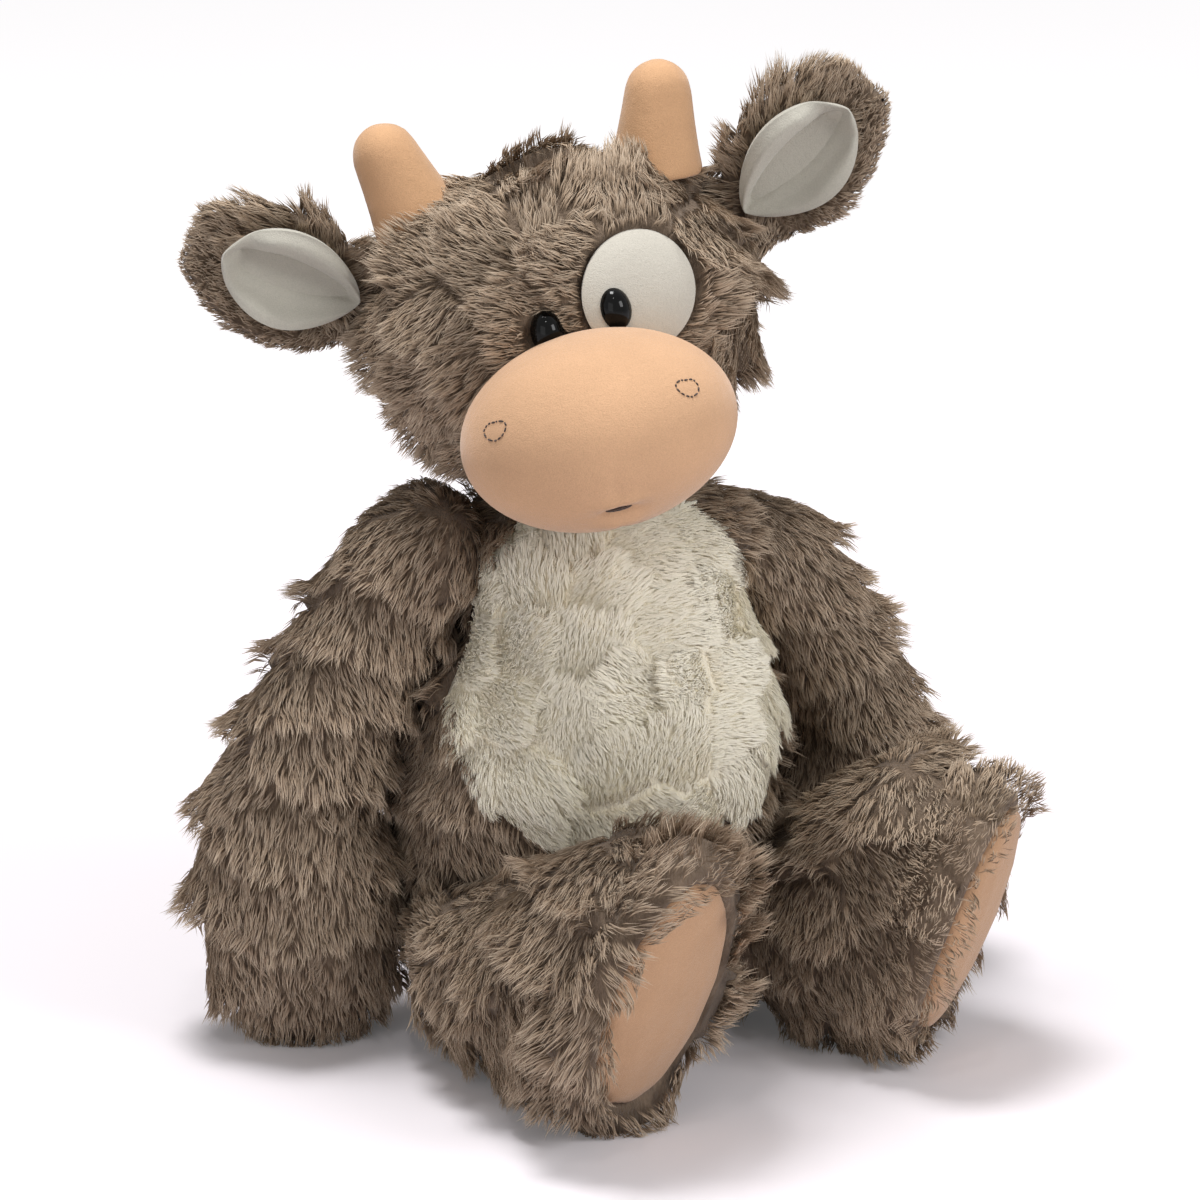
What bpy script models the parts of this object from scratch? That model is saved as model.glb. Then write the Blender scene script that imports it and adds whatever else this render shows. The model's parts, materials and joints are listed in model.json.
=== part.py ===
"""A seated plush cow, built from the pieces that the real toy is sewn from.

Its covers, filling, thread, safety eyes and pellet bag are separate solids, in metres. The toy faces -Y, its
left is +X and +Z is up. The origin is the middle of the flat seat that it sits on. It rests as it sits in the
photograph: its head is turned and tilted, and its legs point to its left.
"""

import math

import bmesh
import bpy
from mathutils import Matrix, Vector

MM = 0.001
SIDES = {"right": -1, "left": 1}

# Fabric, thread and clearances
FUR_THICKNESS = 6 * MM
VELOUR_THICKNESS = 2 * MM
SEAM_GAP = 0.3 * MM
FILLING_GAP = 0.7 * MM
SEAM_THREAD = 0.8 * MM
EMBROIDERY_THREAD = 0.5 * MM
# How far each main tuft of the fur stands up, and how far its tip lies down the slope
TUFT_STAND = 5 * MM
TUFT_FALL = 6 * MM
CUTTER_OVERRUN = 20 * MM
MERGE_DISTANCE = 0.03 * MM
FLOOR_CUT = 0.5 * MM

# Torso
TORSO_HEIGHT = 161 * MM
TORSO_LEAN = 4 * MM
TORSO_LEAN_POWER = 3
TORSO_HALF_WIDTH = 55 * MM
TORSO_FRONT = 58 * MM
TORSO_BACK = 50 * MM
# Height, half width, front and back as shares of the four sizes above, from the seat to the neck
TORSO_SHARES = (
    (0.00, 0.63, 0.41, 0.72),
    (0.055, 0.79, 0.53, 0.88),
    (0.185, 0.93, 0.58, 0.98),
    (0.31, 0.99, 0.66, 1.00),
    (0.42, 1.00, 0.85, 1.00),
    (0.54, 0.97, 1.00, 0.96),
    (0.655, 0.89, 0.95, 0.91),
    (0.755, 0.75, 0.86, 0.85),
    (0.84, 0.725, 0.76, 0.77),
    (0.915, 0.70, 0.63, 0.65),
    (0.965, 0.56, 0.47, 0.51),
    (1.00, 0.36, 0.34, 0.38),
)
# The rings of the torso that have tufts, and the places round them, which all lie at its back
TORSO_TUFT_RINGS = range(3, 10)
TORSO_TUFT_STEPS = range(2, 6)
PANEL_HALF_WIDTH = 48.5 * MM
# How far the widest part of the panel lies under the top of the torso
PANEL_DROP = 61 * MM
PANEL_UP = 64 * MM
PANEL_DOWN = 34 * MM
PANEL_DEPTH = 46 * MM
PANEL_BULGE = 2 * MM
PELLET_BAG_HALF_WIDTH = 24 * MM
PELLET_BAG_HALF_LENGTH = 19 * MM
PELLET_BAG_HEIGHT = 18 * MM
PELLET_BAG_BACK = 9 * MM

# Neck, and the pose of the head on it
NECK_RISE = 5 * MM
NECK_FILLING_RADIUS = 16 * MM
NECK_RING_RADIUS = 15 * MM
HEAD_TURN = math.radians(-13)
HEAD_TILT = math.radians(-12.5)

# Head
HEAD_HALF_WIDTH = 58 * MM
HEAD_HALF_DEPTH = 51 * MM
HEAD_HALF_HEIGHT = 47.5 * MM
HEAD_FORWARD = 4 * MM
HEAD_RISE = 50 * MM
# Tufts lie behind the face, above the neck and between the ears, by these shares of the head's half sizes
TUFTS_FRONT_SHARE = -0.3
TUFTS_BOTTOM_SHARE = -0.3
TUFTS_TOP_SHARE = 0.9
TUFTS_SIDE_SHARE = 0.75
MUZZLE_HALF_WIDTH = 39 * MM
MUZZLE_HALF_DEPTH = 34 * MM
MUZZLE_HALF_HEIGHT = 27.5 * MM
MUZZLE_FORWARD = 58 * MM
MUZZLE_DROP = 22.5 * MM
MUZZLE_OPENING_RADIUS = 20 * MM
PATCH_HALF_WIDTH = 15.8 * MM
PATCH_HALF_HEIGHT = 15.5 * MM
PATCH_OUT = 20 * MM
PATCH_RISE = 9.5 * MM
PATCH_SUNK = 2 * MM
EYE_HALF_WIDTH = 4.3 * MM
EYE_HALF_HEIGHT = 6.2 * MM
EYE_DOME = 4 * MM
# The eyes are sewn on a little unevenly: how far each lies from the middle of the head, and above it
EYE_OUT = {"right": 7.8 * MM, "left": 12 * MM}
EYE_RISE = {"right": 7 * MM, "left": 8 * MM}
EYE_FORWARD = 46 * MM
EYE_SHANK_RADIUS = 2 * MM
EYE_SHANK_LENGTH = 13 * MM
WASHER_RADIUS = 6 * MM
WASHER_THICKNESS = 1.6 * MM
WASHER_SETBACK = 6.5 * MM
NOSTRIL_OUT = {"right": 28 * MM, "left": 25 * MM}
NOSTRIL_RISE = 11 * MM
NOSTRIL_LENGTH = 7.5 * MM
NOSTRIL_WIDTH = 5 * MM
NOSTRIL_TILT = math.radians(60)
NOSTRIL_TAPER_SHARE = 0.5
MOUTH_DROP = 17.5 * MM
MOUTH_WIDTH = 8 * MM
HORN_LENGTH = 34 * MM
HORN_RADIUS = 11 * MM
HORN_TIP_RADIUS = 9 * MM
HORN_OUT = 34 * MM
HORN_RISE = 33 * MM
HORN_LEAN = math.radians(14)
HORN_TIP_ANGLES = tuple(math.radians(degrees) for degrees in (0, 25, 50, 75))

# Ears
EAR_LENGTH = 54 * MM
EAR_HALF_WIDTH = 19 * MM
EAR_CUP = 6 * MM
EAR_CUP_SHARE = 0.5
EAR_ROOT_RADIUS = 4.6 * MM
EAR_ROOT_HALF_LENGTH = 11 * MM
EAR_ROOT_CLEARANCE = 0.4 * MM
EAR_ROOT_END_CLEARANCE = 3 * MM
EAR_OUT = 55.5 * MM
EAR_RISE = 14 * MM
EAR_BACK = 4 * MM
EAR_LIFT = math.radians(35)
EAR_LINING_LENGTH = 44 * MM
EAR_LINING_HALF_WIDTH = 13 * MM
EAR_LINING_START = 5.5 * MM
EAR_LINING_GAP = 0.7 * MM
# Half width along the ear, as shares of its widest, from the root to the tip
EAR_WIDTH_SHARES = (0.50, 0.80, 0.96, 1.00, 0.93, 0.74, 0.40)

# Arms
SHOULDER_OUT = {"right": 54 * MM, "left": 56.5 * MM}
# How far each shoulder lies under the top of the torso
SHOULDER_DROP = {"right": 17 * MM, "left": 25 * MM}
SHOULDER_RADIUS = 20 * MM
SHOULDER_RING_RADIUS = 10 * MM
HAND_HEIGHT = 36 * MM
HAND_HALF_WIDTH = 32 * MM
HAND_HALF_DEPTH = 27 * MM
# How far each hand rests out from its shoulder, and back from it
HAND_OUT = {"right": 33 * MM, "left": 33 * MM}
HAND_BACK = {"right": 6 * MM, "left": 17 * MM}
# Places along the arm as shares of its way out, back and down, then its half width and half depth as shares
# of how much they grow from the shoulder to the hand
ARM_SHARES = (
    (0.00, 0.00, 0.00, 0.00, 0.00),
    (0.27, 0.05, 0.13, 0.00, 0.00),
    (0.56, 0.16, 0.28, 0.12, 0.10),
    (0.88, 0.35, 0.46, 0.34, 0.32),
    (1.06, 0.62, 0.64, 0.62, 0.65),
    (1.05, 0.86, 0.82, 0.93, 0.95),
    (1.00, 1.00, 1.00, 1.00, 1.00),
)

# Legs
HIP_SPREAD = 43 * MM
HIP_FORWARD = 29 * MM
HIP_HEIGHT = 32 * MM
HIP_RADIUS = 26 * MM
HIP_RING_RADIUS = 12 * MM
SEAT_TWIST = math.radians(12)
LEG_LENGTH = 75 * MM
LEG_HEADING = {"right": math.radians(22), "left": math.radians(41)}
SOLE_TURN = math.radians(10)
SOLE_PITCH = math.radians(19)
FOOT_HALF_HEIGHT = 47 * MM
FOOT_HALF_WIDTH = 33 * MM
FOOT_RIM = 4 * MM
FOOT_RIM_INSET = 5 * MM
PAD_HALF_HEIGHT = 37 * MM
PAD_HALF_WIDTH = 24 * MM
PAD_DOME = 3.5 * MM
PAD_ROUNDING_SHARE = 1.15
# The inner rings of a leg lie further behind its outer rings the nearer they are to the sole
SOLE_SETBACK_POWER = 4
# Places along the leg as a share of its length, then its half height and half width as shares of how much
# they grow from the hip to the foot, and its rise and the turn of its sole as shares of theirs
LEG_SHARES = (
    (0.00, 0.00, 0.00, 0.00, 0.00),
    (0.22, 0.04, 0.02, 0.10, 0.08),
    (0.42, 0.56, 0.40, 0.56, 0.25),
    (0.62, 0.94, 0.80, 0.96, 0.50),
    (0.82, 1.00, 1.00, 1.02, 0.78),
    (1.00, 0.94, 0.98, 0.97, 1.00),
)

# Tail
TAIL_HEIGHT = 25 * MM
TAIL_BACK = 49 * MM
TAIL_RADIUS = 6 * MM
TAIL_ROOT_RADIUS = 8 * MM
TAIL_RING_RADIUS = 5.5 * MM
TAIL_LENGTH = 44 * MM
TAIL_DROP = 10 * MM
TAIL_SHARES = (0.2, 0.6, 1.0)
TUFT_LENGTH = 30 * MM
TUFT_RADIUS = 11 * MM

# Facets
LOFT_SEGMENTS = 14
BALL_SEGMENTS = 18
BALL_RINGS = 9
SMALL_SEGMENTS = 12
SMALL_RINGS = 8
HORN_SEGMENTS = 14
RING_STEPS = 16
LOOP_POINTS = 16
MOUTH_POINTS = 5
EAR_COLUMNS = 4
# Angles from a limb's round end to the rings of its cap
CAP_ANGLES = tuple(math.radians(degrees) for degrees in (22, 46, 69))

# Colours, as red, green and blue, with roughness
LOOKS = {
    "taupe_fur": ((0.262, 0.195, 0.152), 0.95),
    "cream_fur": ((0.80, 0.74, 0.60), 0.95),
    "peach_velour": ((0.80, 0.50, 0.30), 0.85),
    "white_velour": ((0.72, 0.71, 0.68), 0.85),
    "fibre_filling": ((0.90, 0.90, 0.88), 1.0),
    "pellet_cloth": ((0.75, 0.72, 0.66), 0.9),
    "black_gloss": ((0.008, 0.007, 0.007), 0.08),
    "white_plastic": ((0.80, 0.80, 0.78), 0.4),
    "seam_thread": ((0.20, 0.15, 0.12), 0.7),
    "brown_thread": ((0.09, 0.045, 0.03), 0.7),
}


def clear_scene():
    for obj in list(bpy.data.objects):
        bpy.data.objects.remove(obj)


def new_collection(name):
    made = bpy.data.collections.new(name)
    bpy.context.scene.collection.children.link(made)
    return made


def look(name):
    """The named material, made on its first use."""
    if name in bpy.data.materials:
        return bpy.data.materials[name]
    colour, roughness = LOOKS[name]
    made = bpy.data.materials.new(name)
    made.use_nodes = True
    made.diffuse_color = (*colour, 1)
    shader = made.node_tree.nodes["Principled BSDF"]
    shader.inputs["Base Color"].default_value = (*colour, 1)
    shader.inputs["Roughness"].default_value = roughness
    shader.inputs["Metallic"].default_value = 0
    return made


def place(obj, parent):
    obj.parent = parent
    return obj


def part(obj, material, parent=None):
    """Puts an object among the toy's pieces, in its material and smooth."""
    bpy.data.collections["plush_cow"].objects.link(obj)
    obj.data.materials.append(look(material))
    if obj.type == "MESH":
        obj.data.shade_smooth()
    return place(obj, parent)


def cutter(obj, parent=None):
    """Puts an object among the helpers that shape the pieces."""
    bpy.data.collections["cutters"].objects.link(obj)
    obj.hide_render = True
    obj.display_type = "WIRE"
    return place(obj, parent)


def empty(name, location, rotation=(0, 0, 0), parent=None):
    obj = bpy.data.objects.new(name, None)
    obj.location = location
    obj.rotation_euler = rotation
    bpy.data.collections["plush_cow"].objects.link(obj)
    return place(obj, parent)


def boolean(obj, operation, *others):
    for other in others:
        modifier = obj.modifiers.new(f"{operation.lower()} {other.name}", "BOOLEAN")
        modifier.operation = operation
        modifier.object = other
        modifier.solver = "EXACT"
    return obj


def cut(obj, *others):
    return boolean(obj, "DIFFERENCE", *others)


def hollow(obj, thickness):
    """Turns a closed surface into a cover of this thickness, measured inwards."""
    modifier = obj.modifiers.new("cover", "SOLIDIFY")
    modifier.thickness = thickness
    modifier.offset = -1
    return obj


def mesh_object(name, bm):
    mesh = bpy.data.meshes.new(name)
    bm.to_mesh(mesh)
    bm.free()
    return bpy.data.objects.new(name, mesh)


def outside(radius, segments):
    """The radius of a faceted round whose facets all stay outside the given radius."""
    return radius / math.cos(math.pi / segments) ** 2


def ball(name, centre, halves, segments=BALL_SEGMENTS, rings=BALL_RINGS):
    """A sphere primitive stretched to three half sizes round a centre."""
    bm = bmesh.new()
    size = Matrix.Diagonal((*halves, 1))
    bmesh.ops.create_uvsphere(
        bm, u_segments=segments, v_segments=rings, radius=1, matrix=Matrix.Translation(centre) @ size
    )
    return mesh_object(name, bm)


def rod(name, start, end, radius, segments=SMALL_SEGMENTS, stretch=(1, 1)):
    """A cylinder primitive between two points. stretch widens its section along its own X and Y."""
    start, end = Vector(start), Vector(end)
    along = end - start
    turned = along.to_track_quat("Z", "Y").to_matrix().to_4x4()
    size = Matrix.Diagonal((*stretch, 1, 1))
    bm = bmesh.new()
    bmesh.ops.create_cone(
        bm,
        cap_ends=True,
        segments=segments,
        radius1=radius,
        radius2=radius,
        depth=along.length,
        matrix=Matrix.Translation((start + end) / 2) @ turned @ size,
    )
    return mesh_object(name, bm)


def ring(name, centre, axis, radius, thread):
    """A ring of thread round an axis."""
    turned = Vector(axis).to_track_quat("Z", "Y").to_matrix().to_4x4()
    curve = bpy.data.curves.new(name, "CURVE")
    curve.dimensions = "3D"
    curve.bevel_depth = thread
    curve.bevel_resolution = 0
    spline = curve.splines.new("POLY")
    spline.points.add(RING_STEPS - 1)
    spline.use_cyclic_u = True
    for step, point in enumerate(spline.points):
        angle = 2 * math.pi * step / RING_STEPS
        flat = Vector((radius * math.cos(angle), radius * math.sin(angle), 0))
        point.co = (*(Vector(centre) + turned @ flat), 1)
    return bpy.data.objects.new(name, curve)


def thread_path(name, points, radius, closed):
    """A thread along points, a closed loop or an open run with capped ends."""
    curve = bpy.data.curves.new(name, "CURVE")
    curve.dimensions = "3D"
    curve.bevel_depth = radius
    curve.bevel_resolution = 0
    curve.use_fill_caps = not closed
    spline = curve.splines.new("POLY")
    spline.points.add(len(points) - 1)
    spline.use_cyclic_u = closed
    for point, place_at in zip(spline.points, points):
        point.co = (*place_at, 1)
    return bpy.data.objects.new(name, curve)


def oval(centre, across, up, half_across, half_up, half_down=None):
    """One section of a loft: points round an oval, whose lower half may have its own depth."""
    half_down = half_up if half_down is None else half_down
    points = []
    for step in range(LOFT_SEGMENTS):
        angle = 2 * math.pi * step / LOFT_SEGMENTS
        rise = math.sin(angle)
        depth = half_up if rise > 0 else half_down
        points.append(centre + across * half_across * math.cos(angle) + up * depth * rise)
    return points


def loft(name, sections):
    """A closed body through sections of equal numbers of points, the first and last as flat ends.

    Its sides are split the same way in every body, so that a smaller one fits inside a larger one.
    """
    bm = bmesh.new()
    rings = [[bm.verts.new(point) for point in section] for section in sections]
    for low, high in zip(rings, rings[1:]):
        for i, j in zip(range(LOFT_SEGMENTS), [*range(1, LOFT_SEGMENTS), 0]):
            bm.faces.new((low[i], low[j], high[j]))
            bm.faces.new((low[i], high[j], high[i]))
    bm.faces.new(list(reversed(rings[0])))
    bm.faces.new(rings[-1])
    return mesh_object(name, bm)


def tufted(obj, chosen):
    """Draws the chosen points of a cover out and down its slope, each into a tuft of fur."""
    bm = bmesh.new()
    bm.from_mesh(obj.data)
    for vert in bm.verts:
        if chosen(vert):
            down = Vector((0, 0, -1))
            slope = down - vert.normal * down.dot(vert.normal)
            vert.co += vert.normal * TUFT_STAND + slope * TUFT_FALL
    bm.to_mesh(obj.data)
    bm.free()
    return obj


def frame_along(direction, side):
    """Two unit vectors square to a direction and to each other, the first as near to side as it can be."""
    direction = direction.normalized()
    across = (side - direction * side.dot(direction)).normalized()
    return across, direction.cross(across)


# Torso


def lean(height):
    """How far the torso's middle leans to the toy's left at this height."""
    return TORSO_LEAN * (height / TORSO_HEIGHT) ** TORSO_LEAN_POWER


def torso_sections(inset, bottom, top):
    made = []
    for share, width, front, back in TORSO_SHARES:
        height = bottom + share * (top - bottom)
        made.append(
            oval(
                Vector((lean(height), 0, height)),
                Vector((1, 0, 0)),
                Vector((0, 1, 0)),
                width * TORSO_HALF_WIDTH - inset,
                back * TORSO_BACK - inset,
                front * TORSO_FRONT - inset,
            )
        )
    return made


def panel_outline(name, margin):
    """The upright egg shape through the front of the torso that bounds the belly panel."""
    sizes = (PANEL_HALF_WIDTH + margin, PANEL_UP + margin, PANEL_DOWN + margin)
    widest = TORSO_HEIGHT - PANEL_DROP
    starts = (-TORSO_FRONT - CUTTER_OVERRUN, PANEL_DEPTH - TORSO_FRONT + margin)
    sections = [
        oval(Vector((lean(widest), y, widest)), Vector((-1, 0, 0)), Vector((0, 0, 1)), *sizes)
        for y in starts
    ]
    return cutter(loft(name, sections))


def pellet_bag(name, margin):
    """The bag's shape, or the room for it: a flat-bottomed dome on the inside of the seat."""
    floor = FUR_THICKNESS + FILLING_GAP
    halves = (PELLET_BAG_HALF_WIDTH, PELLET_BAG_HALF_LENGTH, PELLET_BAG_HEIGHT)
    halves = tuple(half + margin for half in halves)
    return ball(name, (0, PELLET_BAG_BACK, floor), halves)


def torso_body(name, inset):
    """The torso's shape, with its surface and both ends this far inside the cover's outer side."""
    return loft(name, torso_sections(inset, max(inset, 0), TORSO_HEIGHT - max(inset, 0)))


def is_torso_tuft(vert):
    """Every other point at the back of the torso is a tuft."""
    ring_number, step = divmod(vert.index, LOFT_SEGMENTS)
    return ring_number in TORSO_TUFT_RINGS and step in TORSO_TUFT_STEPS and (ring_number + step) % 2 == 0


def make_torso(sockets):
    inside = cutter(torso_body("torso_room", FUR_THICKNESS))
    cover = part(tufted(torso_body("torso_plush", 0), is_torso_tuft), "taupe_fur")
    cut(cover, inside, panel_outline("panel_room", SEAM_GAP), *sockets)

    panel = part(torso_body("belly_panel", -PANEL_BULGE), "cream_fur")
    boolean(panel, "INTERSECT", panel_outline("panel_outline", 0))
    cut(panel, inside, *sockets)

    inset = FUR_THICKNESS + FILLING_GAP
    filling = part(torso_body("torso_filling", inset), "fibre_filling")
    cut(filling, cutter(pellet_bag("pellet_room", SEAM_GAP)), *sockets)

    bag = part(pellet_bag("pellet_bag", 0), "pellet_cloth")
    cut(bag, block_under("bag_floor", inset))


def block_under(name, height):
    """A block that trims everything under a height."""
    size = TORSO_HALF_WIDTH + TORSO_BACK + CUTTER_OVERRUN
    bm = bmesh.new()
    block = Matrix.Translation((0, 0, height - size)) @ Matrix.Diagonal((2 * size, 2 * size, size, 1))
    bmesh.ops.create_cube(bm, size=2, matrix=block)
    return cutter(mesh_object(name, bm))


# Seams that carry the head, limbs and tail


def seam_room():
    """How far a socket stands off the round end in it, with a ring of thread between them."""
    return 2 * SEAM_GAP + 2 * SEAM_THREAD


def socket(name, radius, parent):
    """The round hole in the torso or head that a round end sits in."""
    size = outside(radius + seam_room(), BALL_SEGMENTS)
    return cutter(ball(name, (0, 0, 0), (size, size, size)), parent)


def seam_ring(name, radius, ring_radius, towards, parent):
    """The ring of thread between a round end and its socket, on the side that faces the torso."""
    reach = radius + SEAM_GAP + SEAM_THREAD
    distance = math.sqrt(reach**2 - ring_radius**2)
    centre = Vector(towards).normalized() * distance
    return part(ring(name, centre, towards, ring_radius, SEAM_THREAD), "seam_thread", parent)


def seam_opening(name, radius, ring_radius, towards, parent):
    """The open end of a sewn-on cover, inside its ring of thread."""
    towards = Vector(towards).normalized()
    opening = ring_radius - SEAM_THREAD - SEAM_GAP
    return cutter(rod(name, (0, 0, 0), towards * (radius + CUTTER_OVERRUN), opening), parent)


# Head


def head_centre():
    return Vector((0, -HEAD_FORWARD, HEAD_RISE))


def head_ball(name, inset):
    halves = (HEAD_HALF_WIDTH - inset, HEAD_HALF_DEPTH - inset, HEAD_HALF_HEIGHT - inset)
    return ball(name, head_centre(), halves)


def is_head_tuft(vert):
    """Every other point of the crown and the back of the head is a tuft."""
    x, y, z = vert.co - head_centre()
    x, y, z = x / HEAD_HALF_WIDTH, y / HEAD_HALF_DEPTH, z / HEAD_HALF_HEIGHT
    behind = y > TUFTS_FRONT_SHARE and TUFTS_BOTTOM_SHARE < z < TUFTS_TOP_SHARE and abs(x) < TUFTS_SIDE_SHARE
    ring_number = round(BALL_RINGS * math.acos(max(-1, min(z, 1))) / math.pi)
    step = round(BALL_SEGMENTS * math.atan2(y, x) / (2 * math.pi))
    return behind and (ring_number + step) % 2 == 0


def muzzle_centre():
    return head_centre() + Vector((0, -MUZZLE_FORWARD, -MUZZLE_DROP))


def muzzle_ball(name, margin):
    halves = (MUZZLE_HALF_WIDTH + margin, MUZZLE_HALF_DEPTH + margin, MUZZLE_HALF_HEIGHT + margin)
    return ball(name, muzzle_centre(), halves)


def muzzle_point(out, rise, lift):
    """A place on the muzzle's front, this far out and up from its centre, and lifted off it."""
    halves = (MUZZLE_HALF_WIDTH, MUZZLE_HALF_DEPTH, MUZZLE_HALF_HEIGHT)
    forward = math.sqrt(1 - (out / halves[0]) ** 2 - (rise / halves[2]) ** 2)
    spot = Vector((out, -halves[1] * forward, rise))
    normal = Vector(spot[i] / halves[i] ** 2 for i in range(3)).normalized()
    return muzzle_centre() + spot + normal * lift


def patch_outline(name, margin, parent):
    centre = head_centre() + Vector((PATCH_OUT, 0, PATCH_RISE))
    end = centre - Vector((0, HEAD_HALF_DEPTH + CUTTER_OVERRUN, 0))
    half_width, half_height = PATCH_HALF_WIDTH + margin, PATCH_HALF_HEIGHT + margin
    return cutter(rod(name, centre, end, half_width, LOFT_SEGMENTS, (1, half_height / half_width)), parent)


def eye_back(name):
    return head_centre() + Vector((SIDES[name] * EYE_OUT[name], -EYE_FORWARD, EYE_RISE[name]))


def eye_shape(name, back, margin):
    """A safety eye: half an oval ball on a shank. With a margin it is the room that the eye needs."""
    halves = (EYE_HALF_WIDTH + margin, EYE_DOME + margin, EYE_HALF_HEIGHT + margin)
    return ball(name, back, halves, SMALL_SEGMENTS, SMALL_RINGS)


def make_eye(name, head):
    back = eye_back(name)
    eye = part(eye_shape(f"{name}_eye", back, 0), "black_gloss", head)
    inward = Vector((0, 1, 0))
    shank_end = back + inward * EYE_SHANK_LENGTH
    shank = cutter(rod(f"{name}_eye_shank", back, shank_end, EYE_SHANK_RADIUS), head)
    boolean(eye, "UNION", shank)

    near = back + inward * WASHER_SETBACK
    washer = rod(f"{name}_eye_washer", near, near + inward * WASHER_THICKNESS, WASHER_RADIUS)
    part(washer, "white_plastic", head)
    hole = outside(EYE_SHANK_RADIUS + SEAM_GAP, SMALL_SEGMENTS)
    bore = cutter(rod(f"{name}_eye_bore", back, shank_end + inward * SEAM_GAP, hole), head)
    cut(washer, bore)

    room = cutter(eye_shape(f"{name}_eye_room", back, SEAM_GAP), head)
    washer_room = rod(
        f"{name}_washer_room",
        near - inward * SEAM_GAP,
        near + inward * (WASHER_THICKNESS + SEAM_GAP),
        WASHER_RADIUS + SEAM_GAP,
    )
    return [room, bore, cutter(washer_room, head)]


def horn_profile(length, base, tip, inset, start):
    """Points up the side of a horn and over its round tip, at +X."""
    bend = tip - inset
    middle = length - tip
    rounded = [(bend * math.cos(angle), 0, middle + bend * math.sin(angle)) for angle in HORN_TIP_ANGLES]
    return [(base - inset, 0, start), *rounded, (0, 0, length - inset)]


def turned(name, points):
    """A profile turned about the Z axis with a Screw modifier, listed from its bottom to its top."""
    bm = bmesh.new()
    rows = [bm.verts.new(point) for point in reversed(points)]
    for one, other in zip(rows, rows[1:]):
        bm.edges.new((one, other))
    obj = mesh_object(name, bm)
    modifier = obj.modifiers.new("turned", "SCREW")
    modifier.steps = HORN_SEGMENTS
    modifier.render_steps = HORN_SEGMENTS
    modifier.use_merge_vertices = True
    modifier.merge_threshold = MERGE_DISTANCE
    modifier.use_smooth_shade = True
    return obj


def make_horn(name, side, head):
    base = empty(
        f"{name}_horn_base",
        head_centre() + Vector((side * HORN_OUT, 0, HORN_RISE)),
        (0, side * HORN_LEAN, 0),
        head,
    )
    outer = horn_profile(HORN_LENGTH, HORN_RADIUS, HORN_TIP_RADIUS, 0, 0)
    cover = turned(f"{name}_horn", outer)
    hollow(cover, VELOUR_THICKNESS)
    part(cover, "peach_velour", base)

    inset = VELOUR_THICKNESS + SEAM_GAP
    inner = horn_profile(HORN_LENGTH, HORN_RADIUS, HORN_TIP_RADIUS, inset, inset)
    filling = turned(f"{name}_horn_filling", [(0, 0, inset), *inner])
    part(filling, "fibre_filling", base)

    size = outside(HORN_RADIUS + SEAM_GAP, SMALL_SEGMENTS)
    room = rod(f"{name}_horn_room", (0, 0, -SEAM_GAP), (0, 0, HORN_LENGTH), size)
    return cutter(room, base)


def nostril_loop(name, lift):
    """Points round a teardrop on the muzzle, narrow at its upper inner end."""
    points = []
    for step in range(LOOP_POINTS):
        angle = 2 * math.pi * step / LOOP_POINTS
        taper = NOSTRIL_TAPER_SHARE * (1 + math.cos(angle)) / 2
        along = NOSTRIL_LENGTH / 2 * math.cos(angle)
        wide = NOSTRIL_WIDTH / 2 * math.sin(angle) * (1 - taper)
        out = NOSTRIL_OUT[name] - along * math.sin(NOSTRIL_TILT) + wide * math.cos(NOSTRIL_TILT)
        rise = NOSTRIL_RISE + along * math.cos(NOSTRIL_TILT) + wide * math.sin(NOSTRIL_TILT)
        points.append(muzzle_point(SIDES[name] * out, rise, lift))
    return points


def make_stitching(head):
    lift = EMBROIDERY_THREAD + SEAM_GAP
    for name in SIDES:
        loop = nostril_loop(name, lift)
        part(thread_path(f"{name}_nostril_stitching", loop, EMBROIDERY_THREAD, True), "brown_thread", head)
    shares = [step / (MOUTH_POINTS - 1) - 1 / 2 for step in range(MOUTH_POINTS)]
    run = [muzzle_point(MOUTH_WIDTH * share, -MOUTH_DROP, lift) for share in shares]
    part(thread_path("mouth_stitching", run, EMBROIDERY_THREAD, False), "brown_thread", head)


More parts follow.
